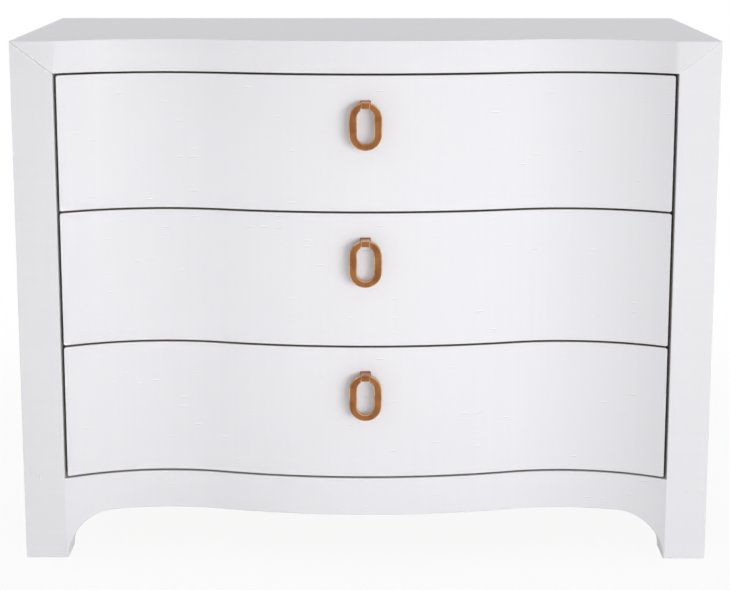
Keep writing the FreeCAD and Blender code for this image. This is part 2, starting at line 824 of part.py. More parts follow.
def pull_ring(name, base):
    """An oval ring whose top bar is turned down to a journal where the strap holds it."""
    body = new_body(f"{name}_pull_ring", base)
    depth = "layout.pull_y - dims.ring_thickness / 2", "layout.pull_y + dims.ring_thickness / 2"
    outside = stadium("layout.ring_outer_radius", "layout.ring_bottom", "layout.ring_top")
    hole = stadium("layout.ring_inner_radius", "layout.ring_hole_bottom", "layout.ring_hole_top")
    add(body, f"{name}_ring_blank", "Y", *depth, outside, hole)
    bevel_edges(body, f"{name}_ring_arris", "dims.ring_edge_bevel", is_on_ring_face)
    half = across("layout.journal_half")
    seat = rectangle(*half, "layout.ring_hole_top - layout.ring_inner_radius", "layout.ring_top")
    cut(body, f"{name}_ring_seat", "Y", *depth, seat)
    journal = Circle("layout.pull_y", "layout.pull_z", "dims.journal_radius")
    add(body, f"{name}_journal", "X", *half, journal)


# ---------------------------------------------------------------- assembly and output


def build_case():
    top_panel()
    top_front_rail()
    top_rear_rail()
    top_dust_panel()
    for name, side in SIDES.items():
        side_panel(name, side)
        inner_panel(name, side)
        front_post(name, side)
        rear_post(name, side)
        bottom_rail(name, side)
    front_apron()
    rear_apron()
    bottom_panel()
    corner_blocks()
    divider("lower_divider", 1)
    divider("upper_divider", 2)
    back_panel()
    foot_glides()


def build_drawer(row, name):
    base = drawer_base(row)
    drawer_front(name, base)
    box_front(name, base)
    for side_name, side in SIDES.items():
        box_side(name, base, side_name, side)
    box_back(name, base)
    box_bottom(name, base)
    pull_screw(name, base)
    slide_pair(f"{name}_case_slides", base, case_channel())
    slide_pair(f"{name}_centre_slides", base, centre_channel())
    slide_pair(f"{name}_drawer_slides", base, drawer_channel())
    pull_bracket(name, base)
    pull_ring(name, base)


def write_pieces():
    """Checks every object and every piece, then writes each piece to its own file."""
    doc.recompute()
    for item in doc.Objects:
        if "Invalid" in item.State or "Error" in item.State:
            raise ValueError(f"{item.Label} failed to rebuild: {item.State}")
    for piece in pieces:
        if piece.Shape.isNull() or not piece.Shape.isValid() or not piece.Shape.Solids:
            raise ValueError(f"{piece.Label} has no valid shape")
    os.makedirs("parts", exist_ok=True)
    for piece in pieces:
        piece.Shape.exportStep(f"parts/{piece.Label}.step")


fill_sheet("dims", DIMENSIONS)
fill_sheet("layout", LAYOUT, "=")
build_case()
for row, drawer in enumerate(DRAWERS):
    build_drawer(row, drawer)
write_pieces()
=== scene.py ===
"""A serpentine-fronted chest of three drawers, its boards wrapped in lacquered linen.

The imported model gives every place. This script lays the wrapped skins over the case and the
drawer fronts, makes the ring pulls and the small fasteners, and gives each carried-over part
its finish. Lengths are metres: X runs across the front, Y from front to back and Z up.
"""

import logging
import math
from collections.abc import Callable, Iterable
from dataclasses import dataclass, field
from enum import Enum
from itertools import cycle

import bmesh
import bpy
from bmesh.types import BMEdge, BMFace, BMVert
from mathutils import Matrix, Vector


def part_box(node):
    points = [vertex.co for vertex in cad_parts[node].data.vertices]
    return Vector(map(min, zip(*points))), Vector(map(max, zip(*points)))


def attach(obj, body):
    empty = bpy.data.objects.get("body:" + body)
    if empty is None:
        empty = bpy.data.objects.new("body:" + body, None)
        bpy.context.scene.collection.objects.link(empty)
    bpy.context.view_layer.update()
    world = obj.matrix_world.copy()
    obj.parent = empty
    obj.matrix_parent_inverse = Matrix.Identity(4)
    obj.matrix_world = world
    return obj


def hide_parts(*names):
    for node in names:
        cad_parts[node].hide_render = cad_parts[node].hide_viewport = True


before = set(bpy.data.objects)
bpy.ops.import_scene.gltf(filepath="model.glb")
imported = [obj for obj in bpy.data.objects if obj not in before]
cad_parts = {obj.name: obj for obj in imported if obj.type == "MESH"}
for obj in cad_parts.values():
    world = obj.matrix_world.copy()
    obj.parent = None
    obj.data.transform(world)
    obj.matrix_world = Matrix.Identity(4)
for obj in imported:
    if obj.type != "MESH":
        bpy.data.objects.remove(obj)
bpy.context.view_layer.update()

log = logging.getLogger("chest")

Pair = tuple[float, float]
Triple = tuple[float, float, float]
EdgeTest = Callable[[BMEdge], bool]
FaceTest = Callable[[BMFace], bool]
PlaceMaker = Callable[[float, float], Triple]

AXES = {"X": Vector((1, 0, 0)), "Y": Vector((0, 1, 0)), "Z": Vector((0, 0, 1))}
HERE = Matrix.Identity(4)
CLOTH_MAP = "cloth"
MOST_FINISHES = 3

HALF_WIDTH = 0.5335  # half the width of the chest
HEIGHT = 0.813  # the height of the chest
SIDE_SLAB = 0.0635  # the thickness of a side, which the mitre joins to the top
TOP_SLAB = 0.049  # the thickness of the top

ROUNDING_ERROR = 2e-5  # how much two equal lengths may differ
CLEARANCE = 1e-4  # how far a test stays clear of the place that it is about
OFF_PLANE = 1e-6  # how far off a plane a point lies at least that isn't on it
CUT_MARGIN = 1e-7  # how near a cutting plane a point counts as on it
SHARP_STEP = 0.002  # how wide a step is that has to look sharp

ARRIS_TURN = math.radians(50)  # the least turn between two faces at an arris
EDGE_TURN = math.radians(42)  # the least turn that is shaded as an edge
FLAT_TURN = math.radians(0.2)  # the most turn between faces that are one

FACING = 0.9  # the least share of a normal or an edge along the axis that it follows
SQUARE = 0.999  # the same where it follows the axis exactly
EDGEWISE = 0.3  # the most of a normal along an axis that its face lies along
LYING = 0.75  # the least of a normal along Z where the cloth's map comes from above
SIDEWAYS = 0.7  # the least of a normal along X where it comes from the side


class Side(Enum):
    """A side of the chest, as the sign of X."""

    LEFT = -1
    RIGHT = 1


class Row(Enum):
    """A drawer, named as its parts and bodies are."""

    LOWER = "lower"
    MIDDLE = "middle"
    UPPER = "upper"

    def part(self, name: str) -> str:
        """Returns the full name of one of the drawer's parts or bodies."""
        return f"{self.value}_{name}"


class Grain(Enum):
    """The way the grain of a board runs, as the index of an axis."""

    ACROSS = 0
    DEEP = 1


# ---------------------------------------------------------------- shader maths


class Signal:
    """A socket in a node tree, with arithmetic that adds the nodes for it."""

    def __init__(self, tree: "Tree", socket: bpy.types.NodeSocket) -> None:
        """Wraps a socket.

        Args:
            tree: the tree that the socket belongs to.
            socket: an output of one of its nodes.
        """
        self.tree = tree
        self.socket = socket

    def _maths(self, operation: str, first: "Signal | float", second: "Signal | float") -> "Signal":
        """Adds one Math node and returns its result."""
        return self.tree.add("ShaderNodeMath", {"operation": operation}, {0: first, 1: second})

    def __add__(self, other: "Signal | float") -> "Signal":
        """Returns the sum."""
        return self._maths("ADD", self, other)

    __radd__ = __add__

    def __sub__(self, other: "Signal | float") -> "Signal":
        """Returns the difference."""
        return self._maths("SUBTRACT", self, other)

    def __rsub__(self, other: float) -> "Signal":
        """Returns the difference from a number."""
        return self._maths("SUBTRACT", other, self)

    def __mul__(self, other: "Signal | float") -> "Signal":
        """Returns the product."""
        return self._maths("MULTIPLY", self, other)

    __rmul__ = __mul__

    def either(self, other: "Signal") -> "Signal":
        """Returns the larger of two signals."""
        return self._maths("MAXIMUM", self, other)

    def size(self) -> "Signal":
        """Returns the signal without its sign."""
        return self._maths("ABSOLUTE", self, 0.0)

    def sibling(self, output: str) -> "Signal":
        """Returns another output of the node that made this signal."""
        return Signal(self.tree, self.tree.find(self.socket.node.outputs, output))

    def rise(self, low: float, high: float) -> "Signal":
        """Returns a soft step, from 0 up to the first number to 1 beyond the second."""
        settings = {"interpolation_type": "SMOOTHSTEP"}
        return self.tree.add("ShaderNodeMapRange", settings, {"Value": self, 1: low, 2: high})


class Tree:
    """The node tree of a material or of the world, emptied and ready to be filled."""

    def __init__(self, owner: bpy.types.Material | bpy.types.World) -> None:
        """Empties the tree of its owner.

        Args:
            owner: the material or world whose nodes are to be made.
        """
        owner.use_nodes = True
        self.nodes = owner.node_tree.nodes
        self.links = owner.node_tree.links
        self.nodes.clear()

    def add(
        self,
        kind: str,
        settings: dict[str, object] | None = None,
        values: dict[str | int, object] | None = None,
        output: str | int = 0,
    ) -> Signal:
        """Adds a node.

        Args:
            kind: the node's type.
            settings: its own properties.
            values: a link or a value for each socket, by its identifier, name or place.
            output: the socket to return, by its identifier, name or place.

        Returns:
            The chosen output.
        """
        made = self.nodes.new(kind)
        for name, value in (settings or {}).items():
            setattr(made, name, value)
        for key, value in (values or {}).items():
            socket = self.find(made.inputs, key)
            if isinstance(value, Signal):
                self.links.new(value.socket, socket)
            else:
                socket.default_value = value
        return Signal(self, self.find(made.outputs, output) if made.outputs else None)

    @staticmethod
    def find(sockets: Iterable[bpy.types.NodeSocket], key: str | int) -> bpy.types.NodeSocket:
        """Returns the socket with that place, identifier or name."""
        named = () if isinstance(key, int) else (s for s in sockets if s.identifier == key)
        return next(iter(named), None) or sockets[key]

    def noise(
        self, place: Signal, scale: Triple, detail: float = 2.0, bend: float = 0.0
    ) -> Signal:
        """Makes noise about 0.5, stretched along the axes with a small scale.

        Args:
            place: the coordinates, in metres.
            scale: features to the metre along each axis.
            detail: octaves of finer noise.
            bend: how far the pattern is distorted.

        Returns:
            The noise.
        """
        stretched = self.add("ShaderNodeMapping", values={"Vector": place, "Scale": scale})
        values = {"Vector": stretched, "Scale": 1.0, "Detail": detail, "Distortion": bend}
        return self.add("ShaderNodeTexNoise", values=values)

    def blend(self, share: Signal, first: tuple | Signal, second: tuple | Signal) -> Signal:
        """Mixes two colours.

        Args:
            share: how much of the second colour there is.
            first: a colour, or a link to one.
            second: another.

        Returns:
            The mixed colour.
        """
        first, second = (c if isinstance(c, Signal) else (*c, 1) for c in (first, second))
        values = {"Factor_Float": share, "A_Color": first, "B_Color": second}
        return self.add("ShaderNodeMix", {"data_type": "RGBA"}, values, "Result_Color")

    def relief(self, height: Signal, relief: Pair) -> Signal:
        """Gives a surface a fine relief.

        Args:
            height: the relief, from 0 to 1.
            relief: what a height of 1 stands for, in metres, and how plainly it shows.

        Returns:
            The surface's normal.
        """
        values = {"Height": height, "Distance": relief[0], "Strength": relief[1]}
        return self.add("ShaderNodeBump", values=values)

    def surface(self, values: dict[str, object]) -> None:
        """Ends the tree with a Principled shader.

        Args:
            values: a link or a value for each of its sockets.
        """
        shader = self.add("ShaderNodeBsdfPrincipled", values=values)
        self.add("ShaderNodeOutputMaterial", values={"Surface": shader})


# ---------------------------------------------------------------- finishes


class Finish:
    """What a surface is made of."""

    name: str

    def paint(self, tree: Tree) -> None:
        """Fills the material's tree."""
        raise NotImplementedError

    def material(self) -> bpy.types.Material:
        """Makes the finish's material the first time that it is asked for.

        Returns:
            The material.
        """
        made = bpy.data.materials.get(self.name)
        if made is None:
            made = bpy.data.materials.new(self.name)
            self.paint(Tree(made))
        return made


@dataclass(frozen=True)
class LacqueredLinen(Finish):
    """Linen glued over a board under a satin lacquer, laid by the cloth's own map.

    The map's first axis runs along the cloth, in metres. Patterns are given by their features to
    the metre along each axis, and a slub's length, taper and edge in cells of its pattern.
    """

    name: str
    colour: Triple
    # reached in the weave's valleys as painted shade, and in the cloth's own clouds and reed marks
    hollows: Triple
    # lighter: a painted highlight on the slubs' upper halves, and the colour of the frayed flecks
    slub_highlight_and_fleck: Triple = (0.97, 0.965, 0.975)
    # darker: painted shade along the slubs' lower halves
    shade: Triple = (0.68, 0.675, 0.69)
    roughness: float = 0.44
    coat: Pair = (0.3, 0.3)
    relief: Pair = (0.0006, 0.35)
    thread_pitch: float = 0.00065
    thread_changes: float = 55.0
    clouds: Triple = (5, 7, 1)
    reed_marks: Triple = (110, 1.2, 1)
    slub_cells: Triple = (45, 210, 1)
    slub_share: float = 0.028
    slub_lengths: Pair = (0.14, 0.4)
    slub_taper: float = 0.1
    slub_edge: float = 0.06

    def _bare(self, tree: Tree) -> Signal | float:
        """Returns where the cloth is frayed: nowhere."""
        return 0.0

    def paint(self, tree: Tree) -> None:
        """Fills the material's tree: threads both ways, slubs with painted highlight and shade, and a
        faint unevenness.

        Args:
            tree: the tree.
        """
        place = tree.add("ShaderNodeUVMap", {"uv_map": CLOTH_MAP})
        threads, changes = 1 / self.thread_pitch, self.thread_changes
        weft = tree.noise(place, (changes, threads, 1))
        warp = tree.noise(place, (threads, changes, 1))
        lit_slub_tops, slub_painted_shade = self._slubs(tree, place)
        clouds = tree.noise(place, self.clouds, 3.0)
        reed_marks = tree.noise(place, self.reed_marks, 1.0)
        weave = weft * 0.55 + warp * 0.45
        # darker in the weave's valleys, which is painted shade; the clouds and reed marks are the
        # cloth's own tone
        valley_shade_and_tone = (1.0 - weave) * 0.5 + clouds * 0.25 + reed_marks * 0.3
        cloth = tree.blend(valley_shade_and_tone, self.colour, self.hollows)
        # painted shade along each slub's lower half and a painted highlight along its upper half, as
        # if lit from above
        cloth = tree.blend(slub_painted_shade * 0.7, cloth, self.shade)
        cloth = tree.blend(lit_slub_tops * 0.8, cloth, self.slub_highlight_and_fleck)
        tree.surface({
            "Base Color": tree.blend(self._bare(tree), cloth, self.slub_highlight_and_fleck),
            "Roughness": weave * 0.12 + (self.roughness - 0.06),
            "Coat Weight": self.coat[0],
            "Coat Roughness": self.coat[1],
            "Normal": tree.relief(weave * 0.5 + lit_slub_tops, self.relief),
        })

    def _slubs(self, tree: Tree, place: Signal) -> tuple[Signal, Signal]:
        """Finds the thick stretches of thread, at most one in a cell of their pattern.

        Args:
            tree: the tree.
            place: the coordinates, in metres.

        Returns:
            The upper halves, which get a painted highlight, and the lower halves, which get painted
            shade, 1 in full and 0 elsewhere.
        """
        cells = tree.add("ShaderNodeMapping", values={"Vector": place, "Scale": self.slub_cells})
        settings = {"voronoi_dimensions": "2D"}
        distance = tree.add("ShaderNodeTexVoronoi", settings, {"Vector": cells, "Scale": 1.0})
        luck = tree.add("ShaderNodeSeparateColor", values={"Color": distance.sibling("Color")})
        shortest, longest = self.slub_lengths
        length = luck.sibling("Green") * (longest - shortest) + shortest
        sure = 1.0 - self.slub_share
        chosen = luck.rise(sure - SHARP_STEP, sure)
        shape = (length - distance).rise(0.0, self.slub_taper) * chosen
        corners = {0: cells, 1: distance.sibling("Position")}
        offset = tree.add("ShaderNodeVectorMath", {"operation": "SUBTRACT"}, corners)
        height = tree.add("ShaderNodeSeparateXYZ", values={"Vector": offset}, output="Y")
        upper = height.rise(-self.slub_edge, self.slub_edge)
        return shape * upper, shape * (1.0 - upper)


@dataclass(frozen=True)
class MitredLinen(LacqueredLinen):
    """Lacquered linen whose cut edges fray into white flecks beside a mitre of the case."""

    slub_share: float = 0.003
    reach: float = 0.004
    reach_edge: float = 0.0012
    flecks: float = 480.0
    fleck_edge: Pair = (0.53, 0.6)
    right_share: float = 0.25
    side_change: float = 0.1

    def _bare(self, tree: Tree) -> Signal | float:
        """Finds the flecks beside the mitres.

        Args:
            tree: the tree.

        Returns:
            1 in the flecks beside the left mitre, less beside the right one, and 0 elsewhere.
        """
        place = tree.add("ShaderNodeTexCoord", output="Object")
        axes = tree.add("ShaderNodeSeparateXYZ", values={"Vector": place})
        inset, drop = HALF_WIDTH - axes.size(), HEIGHT - axes.sibling("Z")
        away = (inset * TOP_SLAB - drop * SIDE_SLAB) * (1 / math.hypot(SIDE_SLAB, TOP_SLAB))
        beside = (self.reach - away.size()).rise(0.0, self.reach_edge)
        left = (0.0 - axes).rise(-self.side_change, self.side_change)
        plainness = left * (1.0 - self.right_share) + self.right_share
        flecks = tree.noise(place, (self.flecks,) * 3, 1.0).rise(*self.fleck_edge)
        return beside * plainness * flecks


@dataclass(frozen=True)
class Timber(Finish):
    """A sawn and sealed board, with its grain along one axis."""

    name: str
    grain: Grain
    pale: Triple
    dark: Triple
    roughness: float = 0.5
    rings: Pair = (2.2, 42)
    pores: Pair = (40, 1400)
    relief: Pair = (0.0002, 0.25)

    def _scale(self, along: float, across: float) -> tuple[float, ...]:
        """Returns a scale for each axis, the first number for the way of the grain."""
        return tuple(along if axis == self.grain.value else across for axis in range(3))

    def paint(self, tree: Tree) -> None:
        """Fills the material's tree: growth rings, pores, and a sheen that follows them.

        Args:
            tree: the tree.
        """
        place = tree.add("ShaderNodeTexCoord", output="Object")
        rings = tree.noise(place, self._scale(*self.rings), 5.0, 0.7)
        pores = tree.noise(place, self._scale(*self.pores), 1.0)
        figure = rings.rise(0.3, 0.72) * 0.75 + pores * 0.25
        tree.surface({
            "Base Color": tree.blend(figure, self.pale, self.dark),
            "Roughness": figure * 0.12 + self.roughness,
            "Normal": tree.relief(pores + rings * 0.4, self.relief),
        })


@dataclass(frozen=True)
class BrushedMetal(Finish):
    """Metal brushed along Z, toned where fingers and polish don't reach."""

    name: str
    bright: Triple
    deep: Triple
    roughness: float
    strokes: Triple = (2200, 2200, 60)
    patches: Triple = (70, 70, 55)
    relief: Pair = (0.00005, 0.3)

    def paint(self, tree: Tree) -> None:
        """Fills the material's tree: brush strokes and patches of deeper tone.

        Args:
            tree: the tree.
        """
        place = tree.add("ShaderNodeTexCoord", output="Object")
        strokes = tree.noise(place, self.strokes)
        patches = tree.noise(place, self.patches, 3.0)
        tone = patches.rise(0.32, 0.7) * 0.7 + strokes * 0.3
        tree.surface({
            "Base Color": tree.blend(tone, self.bright, self.deep),
            "Metallic": 1.0,
            "Roughness": strokes * 0.16 + (self.roughness - 0.08) + patches * 0.06,
            "Normal": tree.relief(strokes, self.relief),
        })


@dataclass(frozen=True)
class PlainFace(Finish):
    """A factory-made face without a grain: painted hardboard or moulded nylon."""

    name: str
    colour: Triple
    shade: Triple
    roughness: float
    stipple: float = 900
    mottle: float = 14
    relief: Pair = (0.00008, 0.2)

    def paint(self, tree: Tree) -> None:
        """Fills the material's tree: a fine stipple and a faint mottle.

        Args:
            tree: the tree.
        """
        place = tree.add("ShaderNodeTexCoord", output="Object")
        stipple = tree.noise(place, (self.stipple,) * 3)
        mottle = tree.noise(place, (self.mottle,) * 3, 4.0)
        tree.surface({
            "Base Color": tree.blend(mottle * 0.7 + stipple * 0.3, self.colour, self.shade),
            "Roughness": stipple * 0.1 + self.roughness,
            "Normal": tree.relief(stipple, self.relief),
        })


WHITE, HOLLOWS = (0.862, 0.855, 0.884), (0.805, 0.797, 0.828)
LINEN = LacqueredLinen("white_linen", WHITE, HOLLOWS)
MITRED_LINEN = MitredLinen("white_linen_at_mitre", WHITE, HOLLOWS)
LINEN_EDGE = LacqueredLinen("linen_cut_edge", (0.66, 0.66, 0.67), (0.54, 0.54, 0.54))
# Darker linen on the faces inside the gaps round the drawers: painted shade, standing in for the shade
# that falls in the gaps.
LINEN_GAP_SHADE = LacqueredLinen(
    "linen_painted_gap_shade", (0.56, 0.515, 0.44), (0.42, 0.38, 0.315), (0.62, 0.58, 0.51), (0.34, 0.305, 0.25)
)
POPLAR = ((0.72, 0.55, 0.34), (0.56, 0.39, 0.21))
CASE_BOARD = ((0.66, 0.55, 0.4), (0.55, 0.43, 0.29))
POPLAR_ACROSS = Timber("poplar_across", Grain.ACROSS, *POPLAR)
POPLAR_DEEP = Timber("poplar_deep", Grain.DEEP, *POPLAR)
PLYWOOD = Timber("birch_plywood", Grain.ACROSS, (0.75, 0.61, 0.42), (0.62, 0.47, 0.29))
CASE_ACROSS = Timber("case_board_across", Grain.ACROSS, *CASE_BOARD)
CASE_DEEP = Timber("case_board_deep", Grain.DEEP, *CASE_BOARD)
HARDBOARD = PlainFace("white_hardboard", (0.8, 0.8, 0.79), (0.74, 0.74, 0.72), 0.5)
NYLON = PlainFace("dark_nylon", (0.035, 0.033, 0.03), (0.05, 0.047, 0.043), 0.55)
COPPER = BrushedMetal("copper_toned_brass", (0.41, 0.17, 0.066), (0.25, 0.094, 0.033), 0.24)
# paler brass on the rounded edges of the pulls: rubbed wear, and a painted highlight where the lamps
# catch them
COPPER_RUBBED_AND_LIT = BrushedMetal("copper_rubbed_edge_and_painted_highlight", (0.82, 0.57, 0.3), (0.36, 0.16, 0.06), 0.2)
ZINC = BrushedMetal("zinc_plate", (0.6, 0.61, 0.63), (0.46, 0.47, 0.5), 0.36, (900, 60, 900))


# ---------------------------------------------------------------- forms


def place_in_scene(name: str, data: bpy.types.ID) -> bpy.types.Object:
    """Puts an object in the scene.

    Args:
        name: its name.
        data: its mesh, light or camera.

    Returns:
        The object.
    """
    placed = bpy.data.objects.new(name, data)
    bpy.context.scene.collection.objects.link(placed)
    return placed


class Form:
    """A solid in the making, shaped with mesh operators."""

    def __init__(self) -> None:
        """Starts with nothing."""
        self.bm = bmesh.new()

    def dot(self, place: Iterable[float]) -> BMVert:
        """Returns a new point, from which an outline starts."""
        return self.bm.verts.new(tuple(place))

    def line(self, tip: BMVert, place: Iterable[float]) -> BMVert:
        """Draws a straight edge.

        Args:
            tip: the end of the outline so far.
            place: where the edge goes.

        Returns:
            The outline's new end.
        """
        end = bmesh.ops.extrude_vert_indiv(self.bm, verts=[tip])["verts"][0]
        end.co = Vector(tuple(place))
        return end

    def arc(self, tip: BMVert, centre: Vector, axis: str, degrees: float, steps: int) -> BMVert:
        """Swings the end of the outline about a centre.

        Args:
            tip: the end of the outline so far.
            centre: what it swings about.
            axis: the axis of the swing.
            degrees: how far, counterclockwise seen from the axis's end.
            steps: how many edges the arc has.

        Returns:
            The outline's new end.
        """
        swung = bmesh.ops.spin(
            self.bm, geom=[tip], cent=centre, axis=AXES[axis], angle=math.radians(degrees), steps=steps
        )
        return next(part for part in swung["geom_last"] if isinstance(part, BMVert))

    def close(self, first: BMVert, last: BMVert) -> None:
        """Joins the ends of the outline and fills it with a face."""
        bmesh.ops.contextual_create(self.bm, geom=[first, last])
        bmesh.ops.contextual_create(self.bm, geom=self.bm.edges[:])

    def sweep(self, axis: str, length: float) -> "Form":
        """Gives the faces drawn so far a thickness.

        Args:
            axis: the way to sweep them.
            length: how far.

        Returns:
            This form.
        """
        grown = bmesh.ops.extrude_face_region(self.bm, geom=self.bm.faces[:])["geom"]
        moved = [part for part in grown if isinstance(part, BMVert)]
        bmesh.ops.translate(self.bm, vec=AXES[axis] * length, verts=moved)
        bmesh.ops.recalc_face_normals(self.bm, faces=self.bm.faces[:])
        return self

    def block(self, low: Iterable[float], high: Iterable[float]) -> "Form":
        """Adds a rectangular block.

        Args:
            low: its corner with the smallest coordinates.
            high: the opposite corner.

        Returns:
            This form.
        """
        low, high = Vector(tuple(low)), Vector(tuple(high))
        place = Matrix.Translation((low + high) / 2) @ Matrix.Diagonal((*(high - low), 1))
        bmesh.ops.create_cube(self.bm, size=1, matrix=place)
        return self

    def rod(self, start: Vector, axis: str, length: float, radii: Pair, sides: int) -> "Form":
        """Adds a round or tapered rod.

        Args:
            start: the middle of its first end.
            axis: the way it points.
            length: its length.
            radii: its radius at the first end and at the other.
            sides: how many sides it has.

        Returns:
            This form.
        """
        turn = AXES["Z"].rotation_difference(AXES[axis]).to_matrix().to_4x4()
        place = Matrix.Translation(start + AXES[axis] * length / 2) @ turn
        bmesh.ops.create_cone(
            self.bm, cap_ends=True, segments=sides, radius1=radii[0], radius2=radii[1],
            depth=length, matrix=place,
        )
        return self

    def trim(self, place: Iterable[float], outward: Iterable[float]) -> "Form":
        """Cuts off what lies outside a plane and closes the cut.

        Args:
            place: a point of the plane.
            outward: the way to the side that goes.

        Returns:
            This form.
        """
        parts = self.bm.verts[:] + self.bm.edges[:] + self.bm.faces[:]
        cut = bmesh.ops.bisect_plane(
            self.bm, geom=parts, plane_co=tuple(place), plane_no=tuple(outward), clear_outer=True,
            dist=CUT_MARGIN,
        )
        rim = [part for part in cut["geom_cut"] if isinstance(part, BMEdge)]
        bmesh.ops.contextual_create(self.bm, geom=rim)
        return self

    def carve(self, cutter: "Form") -> "Form":
        """Takes another form's solid away, which uses that form up.

        Args:
            cutter: the other form.

        Returns:
            This form.
        """
        blank, tool = self._loose("blank"), cutter._loose("cutter")
        carving = blank.modifiers.new("carving", "BOOLEAN")
        carving.operation, carving.solver, carving.object = "DIFFERENCE", "EXACT", tool
        self._take(blank)
        bpy.data.objects.remove(tool)
        bmesh.ops.dissolve_limit(
            self.bm, angle_limit=FLAT_TURN, verts=self.bm.verts[:], edges=self.bm.edges[:]
        )
        return self

    def soften(
        self, widths: Iterable[tuple[EdgeTest, float]], segments: int = 3, finish: int = -1
    ) -> "Form":
        """Rounds edges.

        Args:
            widths: tests for edges, each with the width of its rounding. The first that fits holds.
            segments: how many faces a rounding has across it.
            finish: the material number of the rounding, or -1 for that of the faces beside it.

        Returns:
            This form.
        """
        widths = list(widths)
        widest = max(width for _, width in widths)
        weight = self.bm.edges.layers.float.new("bevel_weight_edge")
        self.bm.normal_update()
        for edge in self.bm.edges:
            edge[weight] = next((width / widest for test, width in widths if test(edge)), 0.0)
        blank = self._loose("blank")
        rounding = blank.modifiers.new("rounding", "BEVEL")
        rounding.width, rounding.segments, rounding.profile = widest, segments, 0.5
        rounding.limit_method, rounding.use_clamp_overlap, rounding.material = "WEIGHT", False, finish
        self._take(blank)
        self.bm.edges.layers.float.remove(self.bm.edges.layers.float["bevel_weight_edge"])
        return self

    def round_off(self, test: EdgeTest, width: float, segments: int) -> "Form":
        """Rounds edges before the rest of the form is drawn out.

        Args:
            test: the test that they pass.
            width: the width of the rounding.
            segments: how many faces it has across it.

        Returns:
            This form.
        """
        bmesh.ops.bevel(
            self.bm, geom=[edge for edge in self.bm.edges if test(edge)], offset=width,
            offset_type="OFFSET", affect="EDGES", segments=segments, profile=0.5, material=-1,
        )
        return self

    def join(self, other: "Form", places: Iterable[Matrix] = (HERE,)) -> "Form":
        """Adds copies of another form.

        Args:
            other: the other form.
            places: where each copy goes.

        Returns:
            This form.
        """
        mesh = other.mesh("copy")
        for place in places:
            copy = mesh.copy()
            copy.transform(place)
            self.bm.from_mesh(copy)
            bpy.data.meshes.remove(copy)
        bpy.data.meshes.remove(mesh)
        return self

    def mark(self, test: FaceTest, number: int) -> "Form":
        """Gives faces a material number.

        Args:
            test: the test that they pass.
            number: the number.

        Returns:
            This form.
        """
        self.bm.normal_update()
        for face in self.bm.faces:
            if test(face):
                face.material_index = number
        return self

    def lay_cloth(self, unroll: Callable[[float], float], upright: bool) -> "Form":
        """Lays the cloth's map over the form, in metres.

        Args:
            unroll: gives the length along the front from the middle to an X.
            upright: True where the cloth runs up the faces that stand, not across them.

        Returns:
            This form.
        """
        cloth = self.bm.loops.layers.uv.new(CLOTH_MAP)
        self.bm.normal_update()
        for face in self.bm.faces:
            lying = abs(face.normal.z) > LYING
            from_side = abs(face.normal.x) > max(abs(face.normal.y), SIDEWAYS)
            for loop in face.loops:
                x, y, z = loop.vert.co
                along, over = (y if from_side else unroll(x)), (y if lying else z)
                loop[cloth].uv = (over, along) if upright else (along, over)
        return self

    def finish(
        self, name: str, finishes: Iterable[Finish], body: str, slot: str, nodes: Iterable[str] = ()
    ) -> bpy.types.Object:
        """Makes the form a piece of the chest.

        Args:
            name: the piece's name.
            finishes: its finishes, in the order of its faces' material numbers.
            body: the body that it rides on.
            slot: the material slot that the piece stands for; not used.
            nodes: the parts of the frame that it stands for.

        Returns:
            The piece.
        """
        mesh = self.mesh(name)
        for finish in finishes:
            mesh.materials.append(finish.material())
        mesh.shade_smooth()
        mesh.set_sharp_from_angle(angle=EDGE_TURN)
        piece = place_in_scene(name, mesh)
        piece.modifiers.new("even_normals", "WEIGHTED_NORMAL").keep_sharp = True
        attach(piece, body)
        nodes = list(nodes)
        if nodes:
            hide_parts(*nodes)
        log.info("%s rides on %s, %d faces, for %s", name, body, len(mesh.polygons), nodes or "itself")
        return piece

    def mesh(self, name: str) -> bpy.types.Mesh:
        """Copies the form to a mesh.

        Args:
            name: the mesh's name.

        Returns:
            The mesh.
        """
        mesh = bpy.data.meshes.new(name)
        self.bm.to_mesh(mesh)
        return mesh

    def _loose(self, name: str) -> bpy.types.Object:
        """Makes an object of this form, for a modifier to work on.

        Args:
            name: the object's name.

        Returns:
            The object, with an empty slot for each finish that a rounding may be given.
        """
        mesh = self.mesh(name)
        for _ in range(MOST_FINISHES):
            mesh.materials.append(None)
        return place_in_scene(name, mesh)

    def _take(self, loose: bpy.types.Object) -> None:
        """Takes an object's mesh with its modifiers applied.

        Args:
            loose: the object, which is removed.
        """
        bpy.context.view_layer.update()
        graph = bpy.context.evaluated_depsgraph_get()
        mesh = bpy.data.meshes.new_from_object(loose.evaluated_get(graph))
        self.bm.clear()
        self.bm.from_mesh(mesh)
        bpy.data.objects.remove(loose)
        bpy.data.meshes.remove(mesh)


def middle(edge: BMEdge) -> Vector:
    """Returns the middle of an edge."""
    return (edge.verts[0].co + edge.verts[1].co) / 2


def near(first: float, second: float, margin: float = ROUNDING_ERROR) -> bool:
    """Returns True for two lengths that are the same but for rounding."""
    return abs(first - second) < margin


def spread(first: float, last: float, count: int) -> list[float]:
    """Returns evenly spaced places from the first to the last."""
    return [first + (last - first) * index / (count - 1) for index in range(count)]


def is_arris(edge: BMEdge) -> bool:
    """Returns True for an edge where two faces meet at a plain angle."""
    return len(edge.link_faces) == 2 and edge.calc_face_angle(0.0) > ARRIS_TURN


def runs_along_y(edge: BMEdge, least: float) -> bool:
    """Returns True for an edge with at least that share of its length along Y."""
    return abs((edge.verts[0].co - edge.verts[1].co).normalized().y) > least


